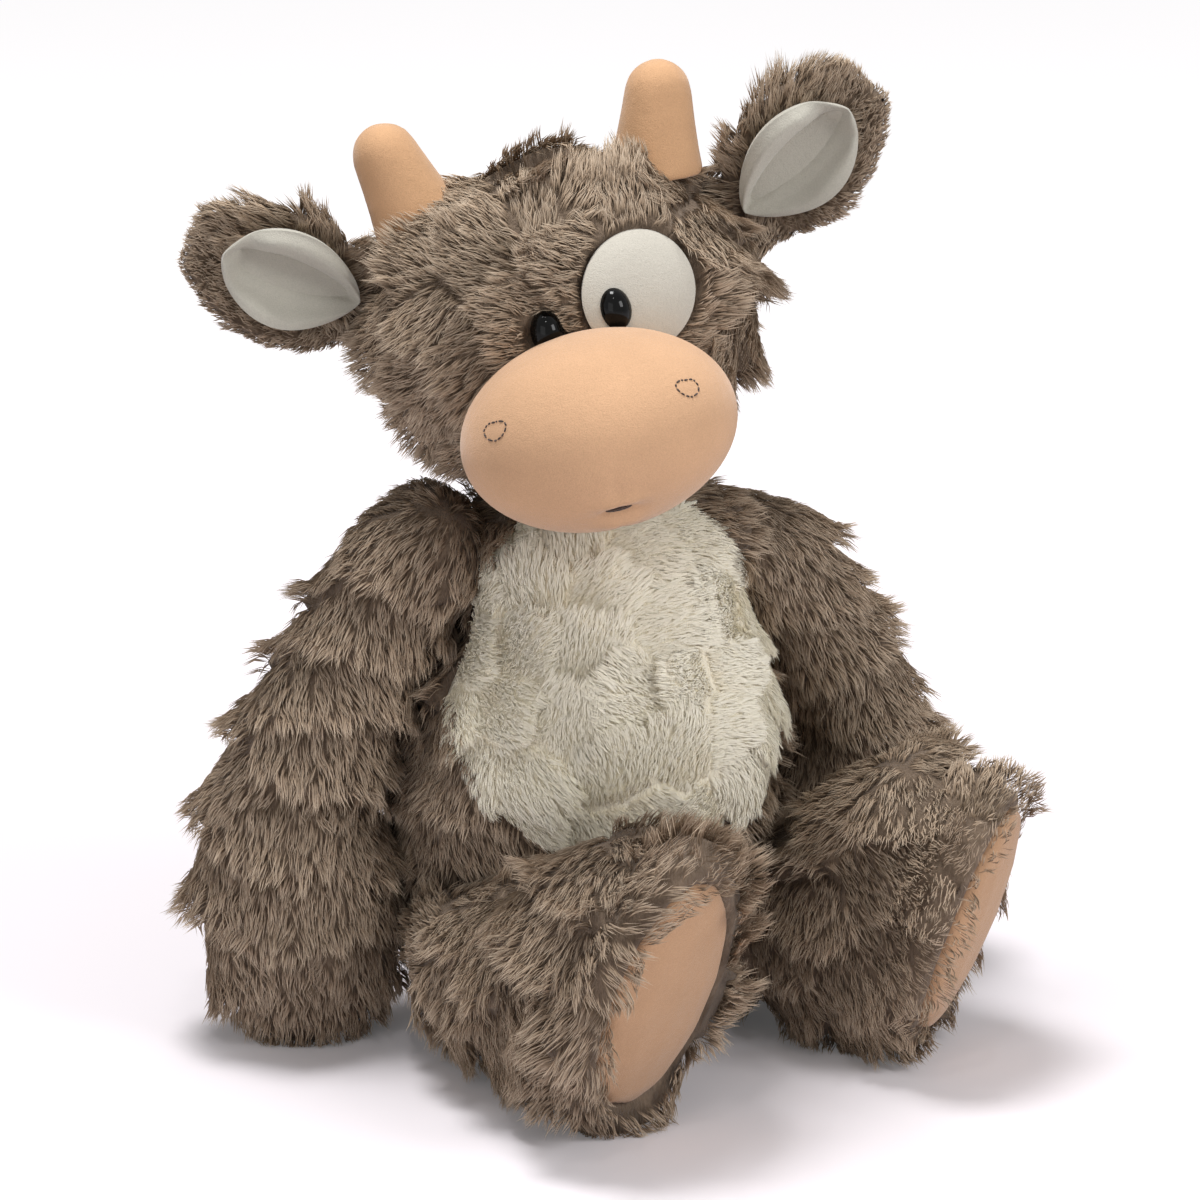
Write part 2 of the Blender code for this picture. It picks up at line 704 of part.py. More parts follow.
def make_head(head):
    seat = outside(NECK_FILLING_RADIUS + SEAM_GAP, BALL_SEGMENTS)
    neck_seat = cutter(ball("neck_seat", (0, 0, 0), (seat, seat, seat)), head)
    head_room = cutter(head_ball("head_room", FUR_THICKNESS), head)
    cover = part(tufted(head_ball("head_plush", 0), is_head_tuft), "taupe_fur", head)
    filling = part(head_ball("head_filling", FUR_THICKNESS + SEAM_GAP), "fibre_filling", head)
    muzzle_room = cutter(muzzle_ball("muzzle_room", SEAM_GAP), head)
    patch_room = patch_outline("patch_room", SEAM_GAP, head)

    patch = part(head_ball("eye_patch", PATCH_SUNK), "white_velour", head)
    hollow(patch, FUR_THICKNESS - PATCH_SUNK)
    boolean(patch, "INTERSECT", patch_outline("patch_outline", 0, head))
    cut(patch, muzzle_room)

    muzzle = part(hollow(muzzle_ball("muzzle_plush", 0), VELOUR_THICKNESS), "peach_velour", head)
    back = muzzle_centre() + Vector((0, MUZZLE_HALF_DEPTH + CUTTER_OVERRUN, 0))
    muzzle_opening = cutter(rod("muzzle_opening", muzzle_centre(), back, MUZZLE_OPENING_RADIUS), head)
    part(muzzle_ball("muzzle_filling", -VELOUR_THICKNESS - SEAM_GAP), "fibre_filling", head)

    eyes = {name: make_eye(name, head) for name in SIDES}
    horns = [make_horn(name, side, head) for name, side in SIDES.items()]
    ears = [make_ear(name, side, head) for name, side in SIDES.items()]
    cut(cover, head_room, muzzle_room, patch_room, neck_seat, *horns, *ears, *eyes["right"], *eyes["left"])
    cut(filling, muzzle_room, neck_seat, *horns, *eyes["right"], *eyes["left"])
    cut(muzzle, muzzle_opening, eyes["right"][0], eyes["left"][0])
    cut(patch, *eyes["left"])
    make_stitching(head)


# Ears


def leaf(name, length, half_width, start, lift):
    """An ear's sheet: its root along X, its length up Z, cupped towards -Y. lift moves it towards -Y."""
    bm = bmesh.new()
    rows = []
    for i, share in enumerate(EAR_WIDTH_SHARES):
        rise = start + length * i / (len(EAR_WIDTH_SHARES) - 1)
        cup = EAR_CUP * math.sin(math.pi / 2 * min(rise / (EAR_CUP_SHARE * EAR_LENGTH), 1))
        row = []
        for column in range(EAR_COLUMNS + 1):
            across = 2 * column / EAR_COLUMNS - 1
            x = half_width * share * across
            y = -lift - cup * (x / EAR_HALF_WIDTH) ** 2
            row.append(bm.verts.new((x, y, rise)))
        rows.append(row)
    for low, high in zip(rows, rows[1:]):
        for i in range(EAR_COLUMNS):
            bm.faces.new((low[i], low[i + 1], high[i + 1], high[i]))
    return mesh_object(name, bm)


def make_ear(name, side, head):
    """One ear on its root. Returns the groove that the root needs in the head."""
    base = head_centre() + Vector((side * EAR_OUT, EAR_BACK, EAR_RISE))
    root = empty(f"{name}_ear_pivot", base, (0, side * (math.pi / 2 - EAR_LIFT), 0), head)

    back = leaf(f"{name}_ear_plush", EAR_LENGTH, EAR_HALF_WIDTH, 0, 0)
    hollow(back, FUR_THICKNESS)
    back.modifiers["cover"].offset = 0
    part(back, "taupe_fur", root)
    ends = (-EAR_ROOT_HALF_LENGTH, 0, 0), (EAR_ROOT_HALF_LENGTH, 0, 0)
    boolean(back, "UNION", cutter(rod(f"{name}_ear_root", *ends, EAR_ROOT_RADIUS), root))

    lift = FUR_THICKNESS / 2 + EAR_LINING_GAP
    front = leaf(f"{name}_ear_lining", EAR_LINING_LENGTH, EAR_LINING_HALF_WIDTH, EAR_LINING_START, lift)
    hollow(front, VELOUR_THICKNESS)
    front.modifiers["cover"].offset = 1
    part(front, "white_velour", root)

    size = outside(EAR_ROOT_RADIUS + EAR_ROOT_CLEARANCE, SMALL_SEGMENTS)
    reach = EAR_ROOT_HALF_LENGTH + EAR_ROOT_END_CLEARANCE
    return cutter(rod(f"{name}_ear_groove", (-reach, 0, 0), (reach, 0, 0), size), root)


# Arms


def arm_sections(name, inset):
    """Rings of an arm round its shoulder, down its bent middle and over the round end of the hand."""
    rows = []
    for out, back, down, wide, deep in ARM_SHARES:
        drop = TORSO_HEIGHT - SHOULDER_DROP[name] - HAND_HEIGHT
        centre = Vector((SIDES[name] * out * HAND_OUT[name], back * HAND_BACK[name], -down * drop))
        half_width = SHOULDER_RADIUS + wide * (HAND_HALF_WIDTH - SHOULDER_RADIUS) - inset
        half_depth = SHOULDER_RADIUS + deep * (HAND_HALF_DEPTH - SHOULDER_RADIUS) - inset
        rows.append((centre, half_width, half_depth))
    to_floor = HAND_HEIGHT + FLOOR_CUT - inset
    return limb_sections(rows, SHOULDER_RADIUS - inset, to_floor, Vector((1, 0, 0)))


def limb_sections(rows, root_radius, end_reach, side):
    """Ovals along a limb's rows of centre, half width and half depth, with a round cap at each end."""
    flat = math.cos(CAP_ANGLES[0])
    made = []
    centres = [row[0] for row in rows]
    start = (centres[1] - centres[0]).normalized()
    across, up = frame_along(start, side)
    for angle in CAP_ANGLES:
        back = -start * root_radius * math.cos(angle)
        size = root_radius * math.sin(angle)
        made.append(oval(back, across, up, size, size))
    for i, (centre, half_width, half_depth) in enumerate(rows):
        ahead = centres[min(i + 1, len(rows) - 1)] - centres[max(i - 1, 0)]
        across, up = frame_along(ahead, side)
        made.append(oval(centre, across, up, half_width, half_depth))
    end = (centres[-1] - centres[-2]).normalized()
    for angle in reversed(CAP_ANGLES):
        ahead = centres[-1] + end * end_reach * math.cos(angle) / flat
        size = math.sin(angle)
        made.append(oval(ahead, across, up, half_width * size, half_depth * size))
    return made


def make_arm(name, side, floor):
    """One arm on its shoulder. Returns its socket in the torso."""
    shoulder = (side * SHOULDER_OUT[name], 0, TORSO_HEIGHT - SHOULDER_DROP[name])
    pivot = empty(f"{name}_shoulder_pivot", shoulder)
    towards = (-side, 0, 0)
    cover = part(loft(f"{name}_arm_plush", arm_sections(name, 0)), "taupe_fur", pivot)
    inside = cutter(loft(f"{name}_arm_room", arm_sections(name, FUR_THICKNESS)), pivot)
    opening = seam_opening(f"{name}_armhole", SHOULDER_RADIUS, SHOULDER_RING_RADIUS, towards, pivot)
    cut(cover, inside, floor, opening)
    sections = arm_sections(name, FUR_THICKNESS + FILLING_GAP)
    part(loft(f"{name}_arm_filling", sections), "fibre_filling", pivot)
    seam_ring(f"{name}_shoulder_stitching", SHOULDER_RADIUS, SHOULDER_RING_RADIUS, towards, pivot)
    return socket(f"{name}_shoulder_socket", SHOULDER_RADIUS, pivot)


# Legs


def foot_rise():
    """How far the middle of the foot lies above the hip, for the foot to rest on the floor."""
    return FOOT_HALF_HEIGHT * math.cos(SOLE_PITCH) - FLOOR_CUT - HIP_HEIGHT


def sole_turn(share):
    """How far the leg has turned outwards and down by this share of the way to its sole."""
    return Matrix.Rotation(share * SOLE_TURN, 3, "Z") @ Matrix.Rotation(share * SOLE_PITCH, 3, "X")


def leg_sections(inset):
    """Rings of a leg from its round hip to the flat front of its foot. It points to -Y."""
    made = []
    sideways, upwards = Vector((1, 0, 0)), Vector((0, 0, 1))
    for angle in CAP_ANGLES:
        size = (HIP_RADIUS - inset) * math.sin(angle)
        back = Vector((0, (HIP_RADIUS - inset) * math.cos(angle), 0))
        made.append(oval(back, sideways, upwards, size, size))
    for along, high, wide, rise, turn in LEG_SHARES:
        facing = sole_turn(turn)
        centre = Vector((0, -along * LEG_LENGTH, rise * foot_rise()))
        centre += facing @ Vector((0, inset * along**SOLE_SETBACK_POWER, 0))
        half_height = HIP_RADIUS + high * (FOOT_HALF_HEIGHT - HIP_RADIUS) - inset
        half_width = HIP_RADIUS + wide * (FOOT_HALF_WIDTH - HIP_RADIUS) - inset
        made.append(oval(centre, facing @ sideways, facing @ upwards, half_width, half_height))
    rim = centre + facing @ Vector((0, -FOOT_RIM, 0))
    half_width, half_height = half_width - FOOT_RIM_INSET, half_height - FOOT_RIM_INSET
    made.append(oval(rim, facing @ sideways, facing @ upwards, half_width, half_height))
    return made


def foot_frame(name, pivot):
    """An empty in the middle of the sole, facing along its own -Y."""
    centre = Vector((0, -LEG_LENGTH, foot_rise())) + sole_turn(1) @ Vector((0, -FOOT_RIM, 0))
    return empty(name, centre, sole_turn(1).to_euler(), pivot)


def pad_outline(name, start, margin, parent):
    """The oval through the sole that bounds the foot pad, from start outwards."""
    stretch = (1, (PAD_HALF_HEIGHT + margin) / (PAD_HALF_WIDTH + margin))
    end = (0, -CUTTER_OVERRUN, 0)
    return cutter(rod(name, (0, start, 0), end, PAD_HALF_WIDTH + margin, LOFT_SEGMENTS, stretch), parent)


def make_pad(name, sole):
    """The domed sole, as deep as the fur cover that it is sewn into. Returns its hole in the cover."""
    depth = FUR_THICKNESS - SEAM_GAP
    halves = (
        PAD_HALF_WIDTH * PAD_ROUNDING_SHARE,
        FUR_THICKNESS + PAD_DOME,
        PAD_HALF_HEIGHT * PAD_ROUNDING_SHARE,
    )
    dome = ball(f"{name}_foot_pad", (0, FUR_THICKNESS, 0), halves, LOFT_SEGMENTS, SMALL_RINGS)
    boolean(part(dome, "peach_velour", sole), "INTERSECT", pad_outline(f"{name}_pad_edge", depth, 0, sole))
    return pad_outline(f"{name}_pad_room", FUR_THICKNESS + SEAM_GAP, SEAM_GAP, sole)


def make_leg(name, side, floor):
    """One leg on its hip. Returns its socket in the torso."""
    spread = Matrix.Rotation(SEAT_TWIST, 3, "Z") @ Vector((side * HIP_SPREAD, 0, 0))
    hip = spread + Vector((0, -HIP_FORWARD, HIP_HEIGHT))
    pivot = empty(f"{name}_hip_pivot", hip, (0, 0, LEG_HEADING[name]))
    towards = Matrix.Rotation(-LEG_HEADING[name], 3, "Z") @ Vector((-hip.x, -hip.y, 0))
    cover = part(loft(f"{name}_leg_plush", leg_sections(0)), "taupe_fur", pivot)
    inside = cutter(loft(f"{name}_leg_room", leg_sections(FUR_THICKNESS)), pivot)
    opening = seam_opening(f"{name}_leg_opening", HIP_RADIUS, HIP_RING_RADIUS, towards, pivot)
    sole = foot_frame(f"{name}_sole", pivot)
    cut(cover, inside, floor, opening, make_pad(name, sole))
    filling = loft(f"{name}_leg_filling", leg_sections(FUR_THICKNESS + FILLING_GAP))
    part(filling, "fibre_filling", pivot)
    seam_ring(f"{name}_hip_stitching", HIP_RADIUS, HIP_RING_RADIUS, towards, pivot)
    return socket(f"{name}_hip_socket", HIP_RADIUS, pivot)


# Tail


def make_tail():
    pivot = empty("tail_pivot", (0, TAIL_BACK, TAIL_HEIGHT))
    slope = Vector((0, TAIL_LENGTH, -TAIL_DROP))
    rows = [(slope * share, TAIL_RADIUS, TAIL_RADIUS) for share in TAIL_SHARES]
    rows = [(Vector((0, 0, 0)), TAIL_ROOT_RADIUS, TAIL_ROOT_RADIUS), *rows]
    cord = loft("tail_plush", limb_sections(rows, TAIL_ROOT_RADIUS, TAIL_RADIUS, Vector((1, 0, 0))))
    part(cord, "taupe_fur", pivot)
    towards = (0, -1, 0)
    seam_ring("tail_stitching", TAIL_ROOT_RADIUS, TAIL_RING_RADIUS, towards, pivot)

    middle = slope + slope.normalized() * (TUFT_LENGTH - TAIL_RADIUS) / 2
    tuft = ball("tail_tuft", middle, (TUFT_RADIUS, TUFT_LENGTH / 2, TUFT_RADIUS), SMALL_SEGMENTS, SMALL_RINGS)
    room = TAIL_RADIUS + SEAM_GAP
    bore_end = slope + slope.normalized() * room
    bore = rod("tuft_bore", (0, 0, 0), bore_end, outside(room, LOFT_SEGMENTS), LOFT_SEGMENTS)
    cut(part(tuft, "taupe_fur", pivot), cutter(bore, pivot))
    return socket("tail_socket", TAIL_ROOT_RADIUS, pivot)


# Neck


def make_neck(neck):
    size = NECK_FILLING_RADIUS
    wad = ball("neck_filling", (0, 0, 0), (size, size, size), SMALL_SEGMENTS, SMALL_RINGS)
    part(wad, "fibre_filling", neck)
    seam_ring("neck_stitching", size, NECK_RING_RADIUS, (0, 0, -1), neck)
    return socket("neck_socket", size, neck)


def main():
    clear_scene()
    new_collection("plush_cow")
    new_collection("cutters")
    floor = block_under("floor", 0)

    neck_height = TORSO_HEIGHT + NECK_RISE
    neck = empty("neck_pivot", (lean(neck_height), 0, neck_height))
    neck_socket = make_neck(neck)
    pose = Matrix.Rotation(HEAD_TURN, 3, "Z") @ Matrix.Rotation(HEAD_TILT, 3, "Y")
    head = empty("head_pivot", (0, 0, 0), pose.to_euler(), neck)
    make_head(head)

    arms = [make_arm(name, side, floor) for name, side in SIDES.items()]
    legs = [make_leg(name, side, floor) for name, side in SIDES.items()]
    make_torso([neck_socket, make_tail(), *arms, *legs])


main()
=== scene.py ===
"""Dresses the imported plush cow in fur, velour, thread and glossy eyes, and sets the studio round it."""

import json
import math

import bmesh
import bpy
import numpy as np
from bpy.props import FloatProperty, FloatVectorProperty, IntProperty, PointerProperty
from mathutils import Matrix, Vector
from mathutils.bvhtree import BVHTree
from mathutils.kdtree import KDTree


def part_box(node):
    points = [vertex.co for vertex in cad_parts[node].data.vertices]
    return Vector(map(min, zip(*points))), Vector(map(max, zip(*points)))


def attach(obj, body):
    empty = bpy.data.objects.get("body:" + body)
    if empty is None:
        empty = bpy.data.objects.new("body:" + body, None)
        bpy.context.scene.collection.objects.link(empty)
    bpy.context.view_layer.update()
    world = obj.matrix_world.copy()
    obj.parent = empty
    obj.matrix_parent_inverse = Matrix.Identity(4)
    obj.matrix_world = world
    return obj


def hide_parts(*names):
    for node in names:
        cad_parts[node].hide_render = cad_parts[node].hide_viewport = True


bl_info = {
    "name": "Plush Cow",
    "version": (1, 0, 0),
    "blender": (4, 5, 0),
    "location": "View3D > Sidebar > Plush Cow",
    "description": "Dresses a seated plush cow in long fur, velour and stitching",
    "category": "Object",
}

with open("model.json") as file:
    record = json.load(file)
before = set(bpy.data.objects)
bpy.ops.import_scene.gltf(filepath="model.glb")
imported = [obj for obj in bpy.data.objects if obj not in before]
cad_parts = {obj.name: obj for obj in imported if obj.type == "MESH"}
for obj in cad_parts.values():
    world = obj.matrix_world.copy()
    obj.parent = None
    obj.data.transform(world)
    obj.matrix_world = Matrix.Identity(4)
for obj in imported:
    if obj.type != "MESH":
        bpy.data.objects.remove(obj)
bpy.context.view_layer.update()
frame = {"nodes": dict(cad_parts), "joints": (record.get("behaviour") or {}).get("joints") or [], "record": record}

MM = 0.001
SIDES = {"right": -1, "left": 1}
JOINTS = {joint["name"]: joint for joint in frame["joints"]}
HEAD_PIVOT = Vector(JOINTS["head_turn"]["pos_m"])
HEAD_POSE = Matrix.Rotation(math.radians(-13), 3, "Z") @ Matrix.Rotation(math.radians(-12.5), 3, "Y")
HEAD_CENTRE = Vector((0, -4, 50)) * MM
HEAD_HALVES = Vector((58, 51, 47.5)) * MM
MUZZLE_CENTRE = Vector((0, -62, 27.5)) * MM
MUZZLE_HALVES = Vector((39, 34, 27.5)) * MM
PATCH_CENTRE = Vector((20, 0, 59.5)) * MM
PATCH_HALVES = Vector((16.4, 0, 16.4)) * MM
EYE_HALVES = Vector((4.7, 5.2, 6.3)) * MM
EYE_PLACES = {"right": Vector((-7.6, -50.8, 55.2)) * MM, "left": Vector((12.2, -50.6, 57.2)) * MM}


# Sizes and colours that a user would change


class PlushFur(bpy.types.PropertyGroup):
    """The long and the curly pile"""

    density: FloatProperty(name="Density", description="Share of the full number of strands", default=1.0, min=0.05)
    length: FloatProperty(name="Pile length", description="Length of the fur", default=0.0085, unit="LENGTH")
    belly_length: FloatProperty(name="Belly pile", description="Length of the curly fur", default=0.0050, unit="LENGTH")
    tuft: FloatProperty(name="Tuft size", description="Distance between tufts", default=0.0165, unit="LENGTH")
    rise: FloatProperty(name="Tuft height", description="How far a tuft stands up", default=0.0046, unit="LENGTH")
    width: FloatProperty(name="Strand width", description="Half width of a strand", default=0.00018, unit="LENGTH")
    sunk: FloatProperty(name="Backing", description="Depth of the backing cloth", default=0.0038, unit="LENGTH")
    seed: IntProperty(name="Seed", description="Changes where the tufts fall", default=7)
    # The dark root colour is painted shade deep in the pile.
    root: FloatVectorProperty(name="Root", description="Fur at its root", subtype="COLOR", default=(0.11, 0.074, 0.048))
    middle: FloatVectorProperty(name="Middle", description="Fur halfway", subtype="COLOR", default=(0.42, 0.312, 0.22))
    tip: FloatVectorProperty(name="Tip", description="Fur at its tip", subtype="COLOR", default=(0.80, 0.655, 0.505))
    cream_root: FloatVectorProperty(
        name="Cream root", description="Belly fur at its root", subtype="COLOR", default=(0.92, 0.85, 0.68)
    )
    cream_tip: FloatVectorProperty(
        name="Cream tip", description="Belly fur at its tip", subtype="COLOR", default=(1.0, 0.955, 0.82)
    )


class PlushVelour(bpy.types.PropertyGroup):
    """The short pile of the muzzle, horns, soles, ears and eye patch"""

    peach: FloatVectorProperty(name="Peach", description="Muzzle", subtype="COLOR", default=(0.62, 0.38, 0.225))
    horn: FloatVectorProperty(name="Horn", description="Horns", subtype="COLOR", default=(0.58, 0.345, 0.19))
    sole: FloatVectorProperty(name="Sole", description="Foot pads", subtype="COLOR", default=(0.50, 0.305, 0.18))
    lining: FloatVectorProperty(name="Lining", description="Ear linings", subtype="COLOR", default=(0.47, 0.45, 0.39))
    patch: FloatVectorProperty(name="Patch", description="Eye patch", subtype="COLOR", default=(0.54, 0.51, 0.445))
    thread: FloatVectorProperty(name="Thread", description="Embroidery", subtype="COLOR", default=(0.045, 0.022, 0.012))
    dimple: FloatProperty(name="Mouth depth", description="How far the mouth is drawn in", default=0.0026, unit="LENGTH")


class PlushStudio(bpy.types.PropertyGroup):
    """The camera, lamps and floor"""

    camera_place: FloatVectorProperty(
        name="Camera", description="Where the camera is", subtype="XYZ", default=(-0.34456, -1.07327, 0.42964)
    )
    camera_side: FloatProperty(
        name="Side", description="Turn round the toy", subtype="ANGLE", default=math.radians(-18)
    )
    camera_height: FloatProperty(
        name="Height", description="Angle above the floor", subtype="ANGLE", default=math.radians(15)
    )
    lens: FloatProperty(name="Lens", description="Focal length in millimetres", default=118)
    key: FloatProperty(name="Key lamp", description="Power of the main lamp", default=8, subtype="POWER")
    top: FloatProperty(name="Top lamp", description="Power of the lamp overhead", default=15, subtype="POWER")
    fill: FloatProperty(name="Fill lamp", description="Power of the fill lamp", default=2.2, subtype="POWER")
    sparkle: FloatProperty(name="Eye lamp", description="Power of the glint lamp", default=0.8, subtype="POWER")
    sky: FloatProperty(name="Surroundings", description="Light from all round", default=0.25)


# Materials


class Shader:
    """Builds one node material, a node at a time."""

    def __init__(self, name):
        self.material = bpy.data.materials.new(name)
        self.material.use_nodes = True
        self.nodes = self.material.node_tree.nodes
        self.surface = self.nodes["Principled BSDF"]

    def node(self, kind, **values):
        made = self.nodes.new(kind)
        for name, value in values.items():
            setattr(made, name, value)
        return made

    def link(self, start, end):
        self.material.node_tree.links.new(start, end)
        return end

    def noise(self, source, scale, detail=4, roughness=0.55):
        made = self.node("ShaderNodeTexNoise")
        made.inputs["Scale"].default_value = scale
        made.inputs["Detail"].default_value = detail
        made.inputs["Roughness"].default_value = roughness
        self.link(source, made.inputs["Vector"])
        return made.outputs["Fac"]

    def ramp(self, source, *stops):
        """A blend through (place, colour) stops."""
        made = self.node("ShaderNodeValToRGB")
        elements = made.color_ramp.elements
        while len(elements) < len(stops):
            elements.new(0.5)
        for element, (place, colour) in zip(elements, stops):
            element.position = place
            element.color = (*colour, 1)
        self.link(source, made.inputs["Fac"])
        return made.outputs["Color"]

    def mix(self, share, first, second, mode="MIX"):
        made = self.node("ShaderNodeMix", data_type="RGBA", blend_type=mode)
        for value, socket in ((share, made.inputs[0]), (first, made.inputs[6]), (second, made.inputs[7])):
            if isinstance(value, bpy.types.NodeSocket):
                self.link(value, socket)
            elif isinstance(value, (int, float)):
                socket.default_value = value
            else:
                socket.default_value = (*value, 1)
        return made.outputs[2]

    def bump(self, height, distance, strength=1.0):
        made = self.node("ShaderNodeBump")
        made.inputs["Distance"].default_value = distance
        made.inputs["Strength"].default_value = strength
        self.link(height, made.inputs["Height"])
        self.link(made.outputs["Normal"], self.surface.inputs["Normal"])

    def set(self, **values):
        for name, value in values.items():
            self.surface.inputs[name.replace("_", " ")].default_value = value

    def place(self, scale=(1, 1, 1)):
        coordinates = self.node("ShaderNodeTexCoord")
        made = self.node("ShaderNodeMapping")
        made.inputs["Scale"].default_value = scale
        self.link(coordinates.outputs["Object"], made.inputs["Vector"])
        return made.outputs["Vector"]


def shade(colour, factor):
    return tuple(min(channel * factor, 1) for channel in colour)


def strand_material(name, root, middle, tip, dim):
    """Fur: dark at the root as painted shade deep in the pile and pale at the tip, with each strand and tuft a little
    different, and painted shade at the start of each tuft, in the crease under the ledge before.
    """
    shader = Shader(name)
    source = shader.node("ShaderNodeAttribute", attribute_name="pile")
    split = shader.node("ShaderNodeSeparateColor")
    shader.link(source.outputs["Color"], split.inputs["Color"])
    along, strand, tuft = (split.outputs[i] for i in range(3))
    # Painted shade along each strand: dark at the root, deep in the pile, to pale at the tip.
    colour = shader.ramp(along, (0.0, root), (0.45, middle), (1.0, tip))
    low, mid = 0.53 + 0.47 * dim, 0.73 + 0.27 * dim
    by_strand = shader.ramp(strand, (0.0, (low, low, low)), (1.0, (1, 1, 1)))
    # Random shade per lock and tuft, mixed with painted shade that darkens strands at the start of each tuft, in the
    # crease under the ledge before.
    by_tuft_and_painted_shade = shader.ramp(tuft, (0.0, (dim, dim * 0.96, dim * 0.9)), (0.4, (mid, mid, mid)), (1.0, (1, 1, 1)))
    colour = shader.mix(1.0, shader.mix(1.0, colour, by_strand, "MULTIPLY"), by_tuft_and_painted_shade, "MULTIPLY")
    shader.link(colour, shader.surface.inputs["Base Color"])
    shader.set(Roughness=0.9, Specular_IOR_Level=0)
    return shader.material


def under_fur_material(name, dark, light):
    """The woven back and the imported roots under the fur."""
    shader = Shader(name)
    place = shader.place()
    patches = shader.noise(place, 90, 5)
    fibres = shader.noise(shader.place((1, 1, 0.25)), 1400, 3)
    colour = shader.mix(fibres, shader.ramp(patches, (0.3, dark), (0.7, light)), dark)
    shader.link(colour, shader.surface.inputs["Base Color"])
    shader.set(Roughness=0.95, Sheen_Weight=0.1)
    shader.bump(fibres, 0.0008)
    return shader.material


def velour_material(name, colour, patch_scale=32, contrast=0.2):
    """Short pile, brushed into soft lighter and darker patches, with fine upright fibres."""
    shader = Shader(name)
    place = shader.place()
    patches = shader.noise(place, patch_scale, 3, 0.5)
    nap = shader.noise(place, 420, 3, 0.6)
    fibres = shader.noise(place, 2600, 2, 0.7)
    brushed = shader.ramp(patches, (0.34, shade(colour, 1 - contrast)), (0.62, shade(colour, 1 + contrast)))
    soft = shader.mix(nap, shade(colour, 0.93), shade(colour, 1.08))
    toned = shader.mix(0.45, brushed, soft)
    speckled = shader.mix(0.5, toned, shader.ramp(fibres, (0.35, shade(colour, 0.86)), (0.65, shade(colour, 1.12))))
    shader.link(speckled, shader.surface.inputs["Base Color"])
    shader.set(Roughness=0.9, Sheen_Weight=0.35, Sheen_Roughness=0.35, Specular_IOR_Level=0.2)
    height = shader.mix(0.5, fibres, nap)
    shader.bump(height, 0.0005, 0.8)
    return shader.material


def thread_material(name, colour):
    """Twisted thread."""
    shader = Shader(name)
    wave = shader.node("ShaderNodeTexWave", wave_type="BANDS", bands_direction="DIAGONAL")
    wave.inputs["Scale"].default_value = 700
    wave.inputs["Distortion"].default_value = 1.5
    shader.link(shader.place(), wave.inputs["Vector"])
    shader.link(
        shader.mix(wave.outputs["Fac"], shade(colour, 0.6), shade(colour, 1.5)), shader.surface.inputs["Base Color"]
    )
    shader.set(Roughness=0.6, Sheen_Weight=0.2)
    shader.bump(wave.outputs["Fac"], 0.0002)
    return shader.material


def gloss_material(name, colour):
    """Polished black plastic with the faintest haze."""
    shader = Shader(name)
    haze = shader.noise(shader.place(), 300, 2)
    shader.link(shader.ramp(haze, (0.4, colour), (0.7, shade(colour, 1.6))), shader.surface.inputs["Base Color"])
    shader.link(shader.ramp(haze, (0.3, (0.05,) * 3), (0.8, (0.09,) * 3)), shader.surface.inputs["Roughness"])
    shader.set(Specular_IOR_Level=0.16)
    return shader.material


def stuffing_material(name, colour, scale):
    """Fibre filling, cloth or plastic that lies inside the toy."""
    shader = Shader(name)
    cloud = shader.noise(shader.place(), scale, 6)
    shader.link(shader.ramp(cloud, (0.3, shade(colour, 0.8)), (0.7, colour)), shader.surface.inputs["Base Color"])
    shader.set(Roughness=0.9)
    shader.bump(cloud, 0.0006)
    return shader.material


def material(name):
    """The named finish, made on its first use."""
    if name in bpy.data.materials and bpy.data.materials[name].get("finished"):
        return bpy.data.materials[name]
    fur, velour = bpy.context.scene.plush_fur, bpy.context.scene.plush_velour
    root, middle, tip = tuple(fur.root), tuple(fur.middle), tuple(fur.tip)
    cream, pale = tuple(fur.cream_root), tuple(fur.cream_tip)
    makers = {
        "long fur": lambda: strand_material(name, root, middle, tip, 0.4),
        "curly fur": lambda: strand_material(name, cream, shade(pale, 0.98), pale, 0.92),
        # The fur backing shows through the pile in the dark root colour, painted shade deep in the pile.
        "fur backing": lambda: under_fur_material(name, root, shade(middle, 0.85)),
        "cream backing": lambda: under_fur_material(name, cream, shade(pale, 0.95)),
        "peach velour": lambda: velour_material(name, tuple(velour.peach)),
        "horn velour": lambda: velour_material(name, tuple(velour.horn), 60),
        "sole velour": lambda: velour_material(name, tuple(velour.sole), 55, 0.10),
        "lining velour": lambda: velour_material(name, tuple(velour.lining), 60, 0.05),
        "patch velour": lambda: velour_material(name, tuple(velour.patch), 60, 0.04),
        "embroidery": lambda: thread_material(name, tuple(velour.thread)),
        "seam thread": lambda: thread_material(name, middle),
        "black eye": lambda: gloss_material(name, (0.002, 0.002, 0.002)),
        "fibre filling": lambda: stuffing_material(name, (0.88, 0.88, 0.86), 160),
        "pellet cloth": lambda: stuffing_material(name, (0.72, 0.69, 0.62), 900),
        "lock washer": lambda: stuffing_material(name, (0.78, 0.78, 0.76), 500),
    }
    made = makers[name]()
    made["finished"] = True
    return made


# Meshes


def unit(vectors):
    return vectors / np.maximum(np.linalg.norm(vectors, axis=-1, keepdims=True), 1e-12)


def step(values, start, end):
    """A soft step from 0 to 1."""
    share = np.clip((values - start) / (end - start), 0, 1)
    return share * share * (3 - 2 * share)


def show(name, mesh, finish, body, replaced=()):
    """Puts a finished mesh in the scene as a piece of the toy."""
    obj = bpy.data.objects.new(name, mesh)
    bpy.context.scene.collection.objects.link(obj)
    mesh.materials.clear()
    mesh.materials.append(material(finish))
    mesh.shade_smooth()
    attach(obj, body)
    if replaced:
        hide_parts(*replaced)
    return obj


def finished_mesh(name, bm):
    mesh = bpy.data.meshes.new(name)
    bm.to_mesh(mesh)
    bm.free()
    return mesh


